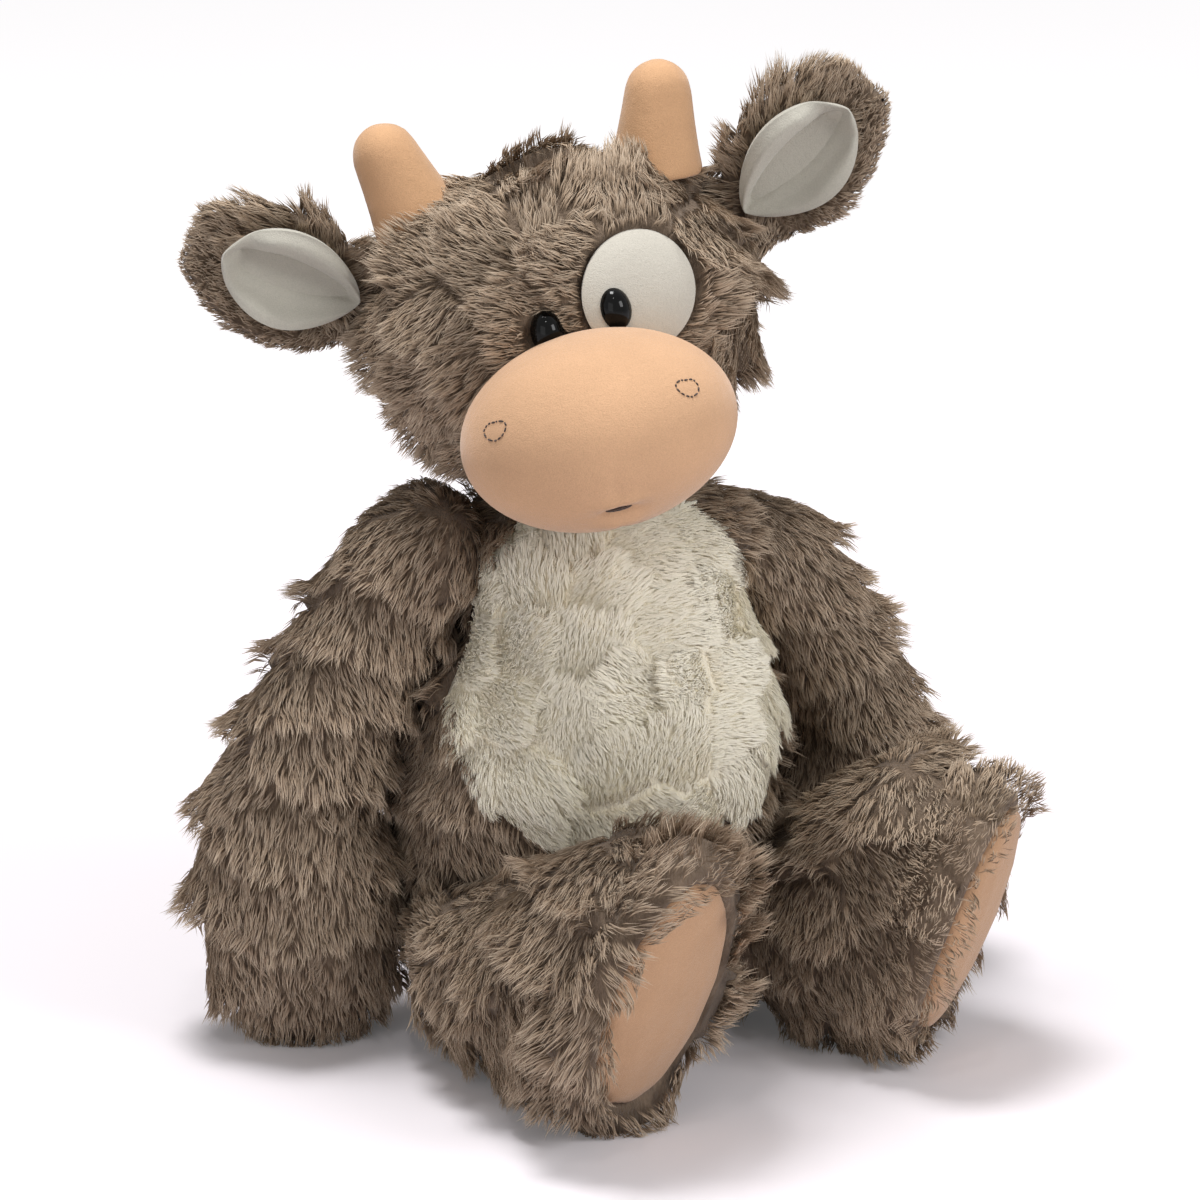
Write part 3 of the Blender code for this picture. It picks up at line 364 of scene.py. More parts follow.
def stuffed_mesh(name, nodes, voxel, rounds):
    """One closed skin round CAD nodes, remeshed evenly and smoothed."""
    bm = bmesh.new()
    for node in nodes:
        bm.from_mesh(frame["nodes"][node].data)
    bmesh.ops.remove_doubles(bm, verts=bm.verts, dist=0.00001)
    helper = bpy.data.objects.new(f"{name}_helper", finished_mesh(f"{name}_helper", bm))
    bpy.context.scene.collection.objects.link(helper)
    remesh = helper.modifiers.new("even", "REMESH")
    remesh.mode = "VOXEL"
    remesh.voxel_size = voxel
    mesh = bpy.data.meshes.new_from_object(helper.evaluated_get(bpy.context.evaluated_depsgraph_get()))
    bpy.data.objects.remove(helper)
    bm = bmesh.new()
    bm.from_mesh(mesh)
    for _ in range(rounds):
        bmesh.ops.smooth_vert(bm, verts=bm.verts, factor=0.5, use_axis_x=True, use_axis_y=True, use_axis_z=True)
    bmesh.ops.recalc_face_normals(bm, faces=bm.faces)
    bpy.data.meshes.remove(mesh)
    return finished_mesh(name, bm)


def read_mesh(mesh):
    """Points, normals and triangles of a mesh as arrays."""
    mesh.calc_loop_triangles()
    points = np.empty(len(mesh.vertices) * 3)
    normals = np.empty(len(mesh.vertices) * 3)
    triangles = np.empty(len(mesh.loop_triangles) * 3, np.int32)
    mesh.vertices.foreach_get("co", points)
    mesh.vertices.foreach_get("normal", normals)
    mesh.loop_triangles.foreach_get("vertices", triangles)
    return points.reshape(-1, 3), normals.reshape(-1, 3), triangles.reshape(-1, 3)


def write_points(mesh, points):
    mesh.vertices.foreach_set("co", np.ascontiguousarray(points, dtype=np.float32).ravel())
    mesh.update()


def tree_of(mesh):
    points, _, triangles = read_mesh(mesh)
    return BVHTree.FromPolygons([tuple(p) for p in points], [tuple(t) for t in triangles.tolist()])


def covered(points, trees, depth=0.0):
    """Which points lie inside any of these closed surfaces, by more than depth."""
    hidden = np.zeros(len(points), bool)
    for tree in trees:
        for i in np.flatnonzero(~hidden):
            place, normal, _, _ = tree.find_nearest(Vector(points[i]), 0.03)
            if place is not None and (Vector(points[i]) - place).dot(normal) < -depth:
                hidden[i] = True
    return hidden


def ball_mesh(name, place, halves, pose, detail=6):
    """An even ball of triangles stretched to three half sizes, on the head."""
    bm = bmesh.new()
    size = Matrix.Diagonal((*halves, 1))
    matrix = Matrix.Translation(HEAD_PIVOT) @ pose.to_4x4() @ Matrix.Translation(place) @ size
    bmesh.ops.create_icosphere(bm, subdivisions=detail, radius=1, matrix=matrix)
    return finished_mesh(name, bm)


def on_head(points):
    """Row frame points as seen in the head's own frame."""
    return (np.asarray(points) - np.array(HEAD_PIVOT)) @ np.array(HEAD_POSE)


def off_head(points):
    return np.asarray(points) @ np.array(HEAD_POSE).T + np.array(HEAD_PIVOT)


# Fur


class Pile:
    """How one area of fur grows. Lengths in metres, angles in degrees."""

    def __init__(self, seed, count, length, tuft, rise, **more):
        fur = bpy.context.scene.plush_fur
        self.random = np.random.default_rng(seed + fur.seed)
        self.count = int(count * fur.density)
        self.length, self.tuft, self.rise = length, tuft, rise
        self.width = more.get("width", fur.width)
        self.low, self.high = more.get("lift", (26, 74))
        self.bend = more.get("bend", 34)
        self.turn = more.get("turn", 24)
        self.stray = more.get("stray", 9)
        self.gather = more.get("gather", -0.15)
        self.over = more.get("over", 0.14)
        self.swirl = more.get("swirl", 0.35)
        self.clump = more.get("clump", 0.36)
        self.lock = more.get("lock", 12)
        self.stretch = np.array(more.get("stretch", (1, 1, 1)), float)
        self.finish = more.get("finish", "long fur")
        self.slot = more.get("slot", "taupe_fur")


def scatter(mesh, count, random):
    """Points spread evenly over a mesh, with their smooth normals."""
    points, normals, triangles = read_mesh(mesh)
    a, b, c = (points[triangles[:, i]] for i in range(3))
    areas = np.linalg.norm(np.cross(b - a, c - a), axis=1)
    chosen = np.searchsorted(np.cumsum(areas) / areas.sum(), random.random(count))
    chosen = np.minimum(chosen, len(triangles) - 1)
    r, s = np.sqrt(random.random(count)), random.random(count)
    weights = np.stack((1 - r, r * (1 - s), r * s), axis=1)[:, :, None]
    corners = triangles[chosen]
    return (points[corners] * weights).sum(1), unit((normals[corners] * weights).sum(1))


def swirled(points, flow, amount):
    """Turns a flow of fur gently from place to place."""
    x, y, z = (points / (30 * MM)).T
    wave = np.stack(
        (
            np.sin(1.3 * y + 0.7 * z + 0.4) + np.sin(2.9 * z - 1.7 * x),
            np.sin(1.1 * z + 0.9 * x + 1.9) + np.sin(2.6 * x - 1.4 * y),
            np.sin(1.2 * x + 0.8 * y + 3.1) + np.sin(2.7 * y - 1.9 * z),
        ),
        axis=1,
    )
    return unit(flow) + amount * wave


def flat_to(normals, vectors):
    """Vectors laid flat on the surface and made one long."""
    return unit(vectors - normals * (vectors * normals).sum(1, keepdims=True))


def turned_round(vectors, normals, angles):
    cosine, sine = np.cos(angles)[:, None], np.sin(angles)[:, None]
    return vectors * cosine + np.cross(normals, vectors) * sine


class Tufts:
    """The tufts that a pile of fur falls into: where each starts, which way it lies and its own shade."""

    def __init__(self, mesh, pile, flow):
        self.pile, self.flow = pile, flow
        points, normals = scatter(mesh, 6000, pile.random)
        tree = KDTree(len(points))
        for i, point in enumerate(points * pile.stretch):
            tree.insert(point, i)
        tree.balance()
        free = np.ones(len(points), bool)
        kept = []
        for i in range(len(points)):
            if free[i]:
                kept.append(i)
                free[[found[1] for found in tree.find_range(points[i] * pile.stretch, pile.tuft)]] = False
        self.places = points[kept]
        self.normals = normals[kept]
        towards = flat_to(self.normals, swirled(self.places, flow(self.places, self.normals), pile.swirl))
        turns = np.radians(pile.turn) * pile.random.normal(size=len(kept))
        self.towards = turned_round(towards, self.normals, turns)
        self.shades = pile.random.random(len(kept))
        self.tree = KDTree(len(kept))
        for i, place in enumerate(self.places * pile.stretch):
            self.tree.insert(place, i)
        self.tree.balance()

    def read(self, points):
        """For each point: its tuft, how far along it lies from 0 to 1, and how far to its side."""
        nearest = np.array([self.tree.find(point)[1] for point in points * self.pile.stretch])
        offset = points - self.places[nearest]
        along = (offset * self.towards[nearest]).sum(1) / self.pile.tuft + 0.5
        side = np.cross(self.normals[nearest], self.towards[nearest])
        return nearest, np.clip(along, 0, 1), side, (offset * side).sum(1) / self.pile.tuft

    def raised(self, points, normals):
        """Points lifted into ledges that end where the next tuft starts."""
        _, along, _, across = self.read(points)
        height = along**1.4 * (1 - 0.5 * np.clip(np.abs(across), 0, 1))
        return points + normals * (self.pile.rise * height)[:, None]


def across_to(strands, normals):
    """The part of each normal that stands square to its strand, so that fur shades as a soft mass."""
    strands = unit(strands)
    return unit(normals - 0.7 * strands * (strands * normals).sum(1, keepdims=True))


def strand_mesh(name, roots, middles, tips, normals, widths, tones_and_painted_shade):
    """Slim three-sided strands, pointed at both ends, with the flat side out and shaded as one soft mass."""
    count = len(roots)
    ahead = unit(tips - roots)
    side = unit(np.cross(ahead, normals))
    out = np.cross(side, ahead)
    points = np.empty((count, 5, 3))
    points[:, 0], points[:, 4] = roots, tips
    for i, angle in enumerate(np.radians((30, 150, 270))):
        around = np.cos(angle) * side + np.sin(angle) * out
        points[:, 1 + i] = middles + widths[:, None] * around
    low, high = across_to(middles - roots, normals), across_to(tips - middles, normals)
    soft = np.empty((count, 18, 3))
    for i, end in enumerate((0.5 * (low + high), high, 0.5 * (low + high), 0.5 * (low + high), 0.5 * (low + high), low)):
        soft[:, i] = end
    soft[:, 6:12] = (-0.87 * side - 0.5 * out)[:, None]
    soft[:, 12:18] = (0.87 * side - 0.5 * out)[:, None]
    corners, u, v = [], [], []
    for column, (i, j) in enumerate(((1, 2), (2, 3), (3, 1))):
        corners += [i, 4, j, i, j, 0]
        left = 0.04 + 0.32 * column
        u += [left, left + 0.14, left + 0.28, left, left + 0.28, left + 0.14]
        v += [0.36, 0.98, 0.36, 0.32, 0.32, 0.02]
    corners = np.array(corners) + 5 * np.arange(count)[:, None]
    mesh = bpy.data.meshes.new(name)
    mesh.vertices.add(count * 5)
    mesh.vertices.foreach_set("co", points.astype(np.float32).ravel())
    mesh.loops.add(corners.size)
    mesh.loops.foreach_set("vertex_index", corners.astype(np.int32).ravel())
    mesh.polygons.add(corners.size // 3)
    mesh.polygons.foreach_set("loop_start", np.arange(0, corners.size, 3, dtype=np.int32))
    mesh.update(calc_edges=True)

    # Channels: place along the strand (the material paints shade at the root), a random tone per strand, and a tone per
    # lock and tuft with painted shade at each tuft's start.
    tone = np.ones((count, 5, 4), np.float32)
    tone[:, :, 0] = (0.0, 0.5, 0.5, 0.5, 1.0)
    tone[:, :, 1], tone[:, :, 2] = tones_and_painted_shade[:, 0, None], tones_and_painted_shade[:, 1, None]
    mesh.color_attributes.new("pile", "FLOAT_COLOR", "POINT").data.foreach_set("color", tone.ravel())

    cells = math.ceil(math.sqrt(count))
    column, row = (part[:, None] for part in (np.arange(count) % cells, np.arange(count) // cells))
    places = np.stack(((column + np.array(u)) / cells, (row + np.array(v)) / cells), axis=2)
    mesh.uv_layers.new(name="OFBake").data.foreach_set("uv", places.astype(np.float32).ravel())
    ends = np.empty(2 * len(mesh.edges), np.int32)
    mesh.edges.foreach_get("vertices", ends)
    along = np.isin(ends % 5, (0, 4)).reshape(-1, 2).any(axis=1)
    mesh.edges.foreach_set("use_edge_sharp", along)
    shading = mesh.attributes.new("custom_normal", "FLOAT_VECTOR", "CORNER")
    shading.data.foreach_set("vector", unit(soft).astype(np.float32).ravel())
    mesh.update()
    return mesh


def nearest_of(places, points):
    """The index of the nearest of some places to each point."""
    tree = KDTree(len(places))
    for i, place in enumerate(places):
        tree.insert(place, i)
    tree.balance()
    return np.array([tree.find(point)[1] for point in points])


class Locks:
    """Small locks of fur, each with one course that its strands follow."""

    def __init__(self, mesh, pile, flow, tufts, trim, stand):
        random = pile.random
        self.places, normals = scatter(mesh, pile.count // pile.lock, random)
        count = len(self.places)
        self.tufts, along, side, across = tufts.read(self.places)
        local = flat_to(normals, swirled(self.places, flow(self.places, normals), pile.swirl))
        way = flat_to(normals, 0.35 * local + tufts.towards[self.tufts])
        way = turned_round(way, normals, np.radians(pile.stray) * random.normal(size=count))
        way = flat_to(normals, way - side * (pile.gather * across)[:, None])
        rising = pile.low + (pile.high - pile.low) * np.clip((along - 0.35) / 0.65, 0, 1) ** 1.2
        lift = np.radians(rising + 6 * random.normal(size=count) + stand(self.places))
        droop = lift - np.radians(pile.bend) * (0.7 + 0.6 * random.random(count))
        length = pile.length * (0.88 + 0.24 * random.random(count)) * (0.72 + 0.38 * along) * trim(self.places)
        half = (length / 2)[:, None]
        room = (1 + pile.over + 0.05 * random.normal(size=count) - along) * pile.tuft
        reach = length / 2 * (np.cos(lift) + np.cos(droop))
        held = np.clip(room / reach, 0.2, 1)[:, None]
        self.first = half * (held * way * np.cos(lift)[:, None] + normals * np.sin(lift)[:, None])
        self.second = half * (held * way * np.cos(droop)[:, None] + normals * np.sin(droop)[:, None])
        self.shades = random.random(count)


def everywhere(points):
    return np.ones(len(points))


def nowhere(points):
    return np.zeros(len(points))


def laid_on(points, tree, gap):
    """Points moved to the nearest place on a skin, a gap above it."""
    laid = np.empty_like(points)
    for i, point in enumerate(points.tolist()):
        place, normal, _, _ = tree.find_nearest(point)
        laid[i] = place + normal * gap
    return laid


def pushed_out(points, tree, gaps):
    """Points moved outwards until each lies at least its own gap above a skin."""
    moved = np.array(points)
    for i, (point, gap) in enumerate(zip(points.tolist(), gaps.tolist())):
        place, normal, _, _ = tree.find_nearest(point)
        short = gap - (Vector(point) - place).dot(normal)
        if short > 0:
            moved[i] += np.array(normal) * short
    return moved


def grow(name, mesh, pile, flow, body, keep, tufts, ground, trim=everywhere, stand=nowhere):
    """Grows a pile of fur over a skin, as pieces of at most 33,000 strands."""
    random = pile.random
    points, normals = scatter(mesh, pile.count, random)
    kept = keep(points, normals)
    points, normals = points[kept], normals[kept]
    count = len(points)
    locks = Locks(mesh, pile, flow, tufts, trim, stand)
    lock = nearest_of(locks.places, points)
    offset = points - locks.places[lock]
    size = (0.85 + 0.3 * random.random(count))[:, None]
    fray = pile.length * 0.05 * random.normal(size=(count, 3))
    layer = random.random(count)
    roots = laid_on(tufts.raised(points, normals), ground, -0.3 * MM)
    middles = pushed_out(roots + size * locks.first[lock] - 0.15 * offset + 0.5 * fray, ground, (0.5 + layer) * MM)
    tips = middles + size * locks.second[lock] - (pile.clump - 0.15) * offset + fray
    tips = pushed_out(tips, ground, (0.3 + 2 * layer) * MM)
    for ends in (roots, middles, tips):
        ends[:, 2] = np.maximum(ends[:, 2], 0.4 * MM)
    widths = pile.width * (0.65 + 0.7 * random.random(count))
    along = tufts.read(points)[1]
    # Random shade per lock and per tuft, plus painted shade: strands near the start of a tuft, in the crease under the
    # ledge before, come out darker.
    shades = 0.35 * locks.shades[lock] + 0.25 * tufts.shades[locks.tufts[lock]] + 0.4 * np.minimum(along * 1.6, 1)
    tones_and_painted_shade = np.stack((random.random(count), shades), axis=1)
    order = np.argsort(points @ np.array((0.2, 0.3, 1.0)))
    batches = math.ceil(count / 33000)
    for i, batch in enumerate(np.array_split(order, batches)):
        label = f"{name}_{i + 1}" if batches > 1 else name
        strands = strand_mesh(
            label, roots[batch], middles[batch], tips[batch], normals[batch], widths[batch], tones_and_painted_shade[batch]
        )
        show(label, strands, pile.finish, body)


def downwards(points, normals):
    return np.tile((0.0, 0.0, -1.0), (len(points), 1))


def fur_pile(seed, count, **more):
    fur = bpy.context.scene.plush_fur
    return Pile(seed, count, more.pop("length", fur.length), more.pop("tuft", fur.tuft), more.pop("rise", fur.rise), **more)


def sunk_mesh(mesh, depth):
    """A copy of a skin whose surface lies deeper, by one depth or by a depth for each of its points."""
    mesh = mesh.copy()
    points, normals, _ = read_mesh(mesh)
    depth = depth(points) if callable(depth) else np.full(len(points), depth)
    write_points(mesh, points - normals * depth[:, None])
    return mesh


def furry(name, mesh, pile, flow, body, slot, nodes, keep, **more):
    """A stuffed skin in ledges of tufts, with its fur grown on it."""
    fur = bpy.context.scene.plush_fur
    mesh = sunk_mesh(mesh, more.get("sunk", fur.sunk))
    tufts = Tufts(mesh, pile, flow)
    points, normals, _ = read_mesh(mesh)
    raised = tufts.raised(points, normals)
    outer = mesh.copy()
    write_points(outer, raised)
    trim, stand = more.get("trim", everywhere), more.get("stand", nowhere)
    grow(f"{name}_fur", mesh, pile, flow, body, keep, tufts, tree_of(outer), trim, stand)
    bpy.data.meshes.remove(outer)
    if "hidden" in more:
        raised = np.where(more["hidden"](points)[:, None], points - normals * more.get("deeper", 2 * MM), raised)
    write_points(mesh, raised)
    return show(f"{name}_skin", mesh, more.get("backing", "fur backing"), body, nodes)


SKINS = {}


def skin(name):
    """The stuffed shape of a part of the toy, made on its first use, before its tufts."""
    if name not in SKINS:
        recipes = {
            "torso": (["torso_plush", "torso_filling", "belly_panel"], 2.6 * MM, 8),
            "right_arm": (["right_arm_plush", "right_arm_filling"], 2.4 * MM, 8),
            "left_arm": (["left_arm_plush", "left_arm_filling"], 2.4 * MM, 8),
            "right_leg": (["right_leg_plush", "right_leg_filling", "right_foot_pad"], 2.4 * MM, 8),
            "left_leg": (["left_leg_plush", "left_leg_filling", "left_foot_pad"], 2.4 * MM, 8),
            "neck": (["neck_filling"], 1.2 * MM, 6),
            "tail": (["tail_plush", "tail_tuft"], 1.6 * MM, 5),
            "right_ear": (["right_ear_plush"], 1.3 * MM, 6),
            "left_ear": (["left_ear_plush"], 1.3 * MM, 6),
            "right_horn": (["right_horn", "right_horn_filling"], 1.2 * MM, 10),
            "left_horn": (["left_horn", "left_horn_filling"], 1.2 * MM, 10),
            "right_foot_pad": (["right_foot_pad"], 1.2 * MM, 6),
            "left_foot_pad": (["left_foot_pad"], 1.2 * MM, 6),
        }
        if name == "head":
            SKINS[name] = ball_mesh("head_skin", HEAD_CENTRE, HEAD_HALVES, HEAD_POSE)
        elif name == "muzzle":
            SKINS[name] = ball_mesh("muzzle_skin", MUZZLE_CENTRE, MUZZLE_HALVES, HEAD_POSE)
        else:
            SKINS[name] = stuffed_mesh(f"{name}_skin", *recipes[name])
        SKINS[f"{name} tree"] = tree_of(SKINS[name])
    return SKINS[name]


def trees(*names):
    for name in names:
        skin(name)
    return [SKINS[f"{name} tree"] for name in names]


def centre_of(node):
    low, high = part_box(node)
    return np.array((low + high) / 2)


# Operators


class PLUSH_OT_torso(bpy.types.Operator):
    """Makes the fur of the torso"""

    bl_idname = "plush.torso"
    bl_label = "Torso"

    def execute(self, context):
        mesh = skin("torso")
        panel = belly_share
        others = trees("right_arm", "left_arm", "right_leg", "left_leg", "head")

        def keep(points, normals):
            return (panel(points) > 1.0) & (points[:, 2] > 2 * MM) & ~covered(points, others, 1 * MM)

        def hidden(points):
            return panel(points) < 1.06

        def depth(points):
            shoulder = np.exp(-(((np.abs(points[:, 0]) - 39 * MM) / (15 * MM)) ** 2)) * step(points[:, 2], 0.136, 0.15)
            flank = step(-points[:, 0], 0.030, 0.045) * (1 - step(points[:, 2], 0.095, 0.125))
            return 1 * MM - 8 * MM * shoulder - 3.5 * MM * flank

        pile = fur_pile(11, 64000, tuft=0.0185, rise=0.005, stretch=(0.8, 0.8, 1.3), swirl=0.25, turn=20)
        nodes = ["torso_plush"]
        furry("torso", mesh, pile, downwards, "torso", "taupe_fur", nodes, keep, hidden=hidden, sunk=depth)
        return {"FINISHED"}


def belly_share(points):
    """Below 1 on the cream panel, above 1 outside it."""
    low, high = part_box("belly_panel")
    middle = (low.x + high.x) / 2 - 0.5 * MM
    widest = 100 * MM
    up = np.where(points[:, 2] > widest, 66 * MM, 34 * MM)
    share = np.hypot((points[:, 0] - middle) / (46.5 * MM), (points[:, 2] - widest) / up)
    return np.where(points[:, 1] < high.y, share, 2.0)


class PLUSH_OT_belly(bpy.types.Operator):
    """Makes the cream belly of curly fur"""

    bl_idname = "plush.belly"
    bl_label = "Belly"

    def execute(self, context):
        fur = context.scene.plush_fur
        bm = bmesh.new()
        bm.from_mesh(skin("torso"))
        far = [v for v, s in zip(bm.verts, belly_share(np.array([v.co for v in bm.verts]))) if s > 1.06]
        bmesh.ops.delete(bm, geom=far, context="VERTS")
        for vert in bm.verts:
            vert.co += vert.normal * 1.5 * MM
        bmesh.ops.recalc_face_normals(bm, faces=bm.faces)
        bmesh.ops.solidify(bm, geom=bm.faces[:], thickness=2 * MM)
        mesh = finished_mesh("belly_skin", bm)
        others = trees("right_leg", "left_leg", "head", "muzzle")
        inner = trees("torso")

        def keep(points, normals):
            outside = (normals[:, 1] < 0.35) & (belly_share(points) < 1.04) & ~covered(points, inner, 0.5 * MM)
            return outside & ~covered(points, others, 2 * MM)

        pile = Pile(
            23, 84000, fur.belly_length, 0.0165, 0.0044, lift=(8, 30), bend=20, turn=40, stray=8, swirl=0.8,
            gather=0.1, over=0.25, finish="curly fur", slot="cream_fur", clump=0.15, width=0.00016,
        )
        nodes = ["belly_panel"]
        furry("belly", mesh, pile, downwards, "torso", "cream_fur", nodes, keep, sunk=0, backing="cream backing")
        return {"FINISHED"}


class PLUSH_OT_arms(bpy.types.Operator):
    """Makes both arms, in shingled rows of long fur"""

    bl_idname = "plush.arms"
    bl_label = "Arms"

    def execute(self, context):
        for name, side in SIDES.items():
            mesh = skin(f"{name}_arm")
            others = trees("torso", f"{name}_leg")

            def keep(points, normals):
                return (points[:, 2] > 1 * MM) & ~covered(points, others, 1 * MM)

            def flow(points, normals):
                return np.tile((0.3 * side, 0.0, -1.0), (len(points), 1))

            def depth(points):
                bulge = np.exp(-(((points[:, 2] - 85 * MM) / (22 * MM)) ** 2)) * (side > 0)
                inner = 1 - step(np.abs(points[:, 0]), 0.046, 0.06)
                return 3.6 * MM + 3 * MM * bulge - (1.5 + 6 * inner) * MM * step(points[:, 2], 0.125, 0.145)

            pile = fur_pile(31 + side, 30000, tuft=0.022, rise=0.005, stretch=(0.72, 0.72, 1.3), turn=13, swirl=0.18)
            nodes, place = [f"{name}_arm_plush"], f"{name}_arm"
            furry(place, mesh, pile, flow, place, "taupe_fur", nodes, keep, sunk=depth)
        return {"FINISHED"}


class PLUSH_OT_legs(bpy.types.Operator):
    """Makes both legs and their velour soles"""

    bl_idname = "plush.legs"
    bl_label = "Legs"

    def execute(self, context):
        for name, side in SIDES.items():
            mesh = skin(f"{name}_leg")
            sole = centre_of(f"{name}_foot_pad")
            hip = np.array(JOINTS[f"{name}_leg_lift"]["pos_m"])
            ahead = unit((sole - hip) * (1, 1, 0))
            others = trees("torso")
            pad = trees(f"{name}_foot_pad")[0]
            spread = read_mesh(skin(f"{name}_foot_pad"))[0]
            facing = np.linalg.svd(spread - spread.mean(axis=0), full_matrices=False)[2][2]
            facing = facing * np.sign(facing @ ahead)

            def flow(points, normals):
                rim = np.clip(((points - sole) @ ahead + 14 * MM) / (14 * MM), 0, 1)[:, None]
                out = unit(points - sole)
                return (1 - rim) * (np.array((0, 0, -0.9)) + 0.45 * ahead) + rim * (0.25 * ahead + 0.9 * out)

            def keep(points, normals):
                near = np.array([pad.find_nearest(Vector(p))[3] for p in points])
                starts = [Vector(p - 8 * MM * facing) for p in points]
                behind = np.array([pad.ray_cast(start, Vector(facing), 0.03)[0] is not None for start in starts])
                behind &= normals @ facing > -0.2
                front = (normals @ facing > 0.45) & (near < 1.8 * MM)
                return (points[:, 2] > 1 * MM) & ~front & ~behind & ~covered(points, others, 1 * MM)

            def under_pad(points):
                near = np.array([pad.find_nearest(Vector(p))[3] for p in points])
                return (near < 7 * MM) & ((points - sole) @ ahead > -12 * MM)

            def rim_share(points):
                near = np.array([pad.find_nearest(Vector(p))[3] for p in points])
                share = step(near, 0.8 * MM, 3.5 * MM) * (1 - step(near, 7 * MM, 14 * MM))
                return share * (1 if side < 0 else 0.3)

            def trim(points):
                near = np.array([pad.find_nearest(Vector(p))[3] for p in points])
                beside = 1 - step(near, 3 * MM, 7 * MM)
                far = (side > 0) * step((points - sole) @ ahead, -0.02, -0.008)
                return 1 + 0.1 * rim_share(points) - 0.4 * np.maximum(beside, far)

            def stand(points):
                return 12 * rim_share(points)

            def depth(points):
                out = (points - sole) @ ahead
                top = step(points[:, 2], 0.055, 0.08) * step(out, -0.05, -0.035) * (1 - step(out, -0.018, -0.008))
                return 3.6 * MM - 3 * MM * rim_share(points) - 7 * MM * top * (side > 0)

            pile = fur_pile(41 + side, 30000, tuft=0.0175, rise=0.005, swirl=0.35, turn=24, stretch=(0.9, 0.9, 1.2))
            nodes, place = [f"{name}_leg_plush"], f"{name}_leg"
            ways = {"hidden": under_pad, "deeper": 0.4 * MM, "trim": trim, "stand": stand, "sunk": depth}
            furry(place, mesh, pile, flow, place, "taupe_fur", nodes, keep, **ways)

            show(f"{name}_sole", skin(f"{name}_foot_pad"), "sole velour", f"{name}_leg", [f"{name}_foot_pad"])
        return {"FINISHED"}


class PLUSH_OT_head(bpy.types.Operator):
    """Makes the fur of the head"""

    bl_idname = "plush.head"
    bl_label = "Head"

    def execute(self, context):
        mesh = skin("head")
        others = trees("muzzle", "right_horn", "left_horn", "torso")

        def patch_share(points):
            spots = on_head(points)
            x = (spots[:, 0] - PATCH_CENTRE.x) / PATCH_HALVES.x
            z = (spots[:, 2] - PATCH_CENTRE.z) / PATCH_HALVES.z
            return np.where(spots[:, 1] < 0, np.hypot(x, z), 9.0)

        eye = np.array(EYE_PLACES["right"])

        def eye_distance(points):
            spots = on_head(points)
            return np.where(spots[:, 1] < 0, np.hypot(spots[:, 0] - eye[0], spots[:, 2] - eye[2]), 1)

        def flow(points, normals):
            spots = on_head(points)
            fall = np.stack((spots[:, 0] / 30, np.zeros(len(spots)), (spots[:, 2] - 82 * MM) / 18), axis=1) / MM
            behind = np.clip(spots[:, 1] / (30 * MM), 0, 1)[:, None]
            fall = unit(fall) * (1 - behind) + np.array((0, 0.3, -1)) * behind
            for away, near in (
                (spots - np.array((PATCH_CENTRE.x, -40 * MM, PATCH_CENTRE.z)), 1.8 - patch_share(points)),
                (spots - eye, 1.7 - eye_distance(points) / (8 * MM)),
            ):
                fall += unit(away) * (0.9 * np.clip(near, 0, 1))[:, None]
            return fall @ np.array(HEAD_POSE).T

        def trim(points):
            return np.clip(eye_distance(points) / (13 * MM), 0.45, 1) * np.clip(patch_share(points) / 1.35, 0.6, 1)

        def keep(points, normals):
            clear = (eye_distance(points) > 5.6 * MM) & (patch_share(points) > 0.99)
            return clear & ~covered(points, others, 1 * MM)

        def hidden(points):
            return (patch_share(points) < 1.04) | (eye_distance(points) < 6 * MM)

        pile = fur_pile(53, 60000, tuft=0.0170, rise=0.005, swirl=0.5, turn=28, stray=10)
        nodes = ["head_plush"]
        furry("head", mesh, pile, flow, "head", "taupe_fur", nodes, keep, hidden=hidden, trim=trim, fill=0.8)
        patch = lens_mesh("eye_patch_velour", patch_point, 5)
        show("eye_patch_velour", patch, "patch velour", "head", ["eye_patch"])
        return {"FINISHED"}


def patch_point(across, up, front):
    """A place on the eye patch, from a place on a ball."""
    reach = np.hypot(across, up)
    grown = np.where(reach > 0, np.minimum(reach, 1) ** 0.75 / np.maximum(reach, 1e-9), 0)
    x = PATCH_CENTRE.x + PATCH_HALVES.x * across * grown
    z = PATCH_CENTRE.z + PATCH_HALVES.z * up * grown
    inside = 1 - ((x - HEAD_CENTRE.x) / HEAD_HALVES.x) ** 2 - ((z - HEAD_CENTRE.z) / HEAD_HALVES.z) ** 2
    depth = HEAD_CENTRE.y - HEAD_HALVES.y * np.sqrt(np.maximum(inside, 0.01))
    crown = 1.2 * MM * (1 - np.minimum(reach, 1) ** 4) - 1.6 * MM
    return np.stack((x, depth - np.where(front > 0, crown, -4 * MM), z), axis=1)


def lens_mesh(name, place, detail):
    """A cushioned sheet: a ball whose points are laid on a curved surface by place(across, up, front)."""
    bm = bmesh.new()
    bmesh.ops.create_icosphere(bm, subdivisions=detail, radius=1)
    balls = np.array([v.co for v in bm.verts])
    laid = off_head(place(balls[:, 0], balls[:, 2], -balls[:, 1]))
    for vert, point in zip(bm.verts, laid):
        vert.co = point
    bmesh.ops.recalc_face_normals(bm, faces=bm.faces)
    return finished_mesh(name, bm)


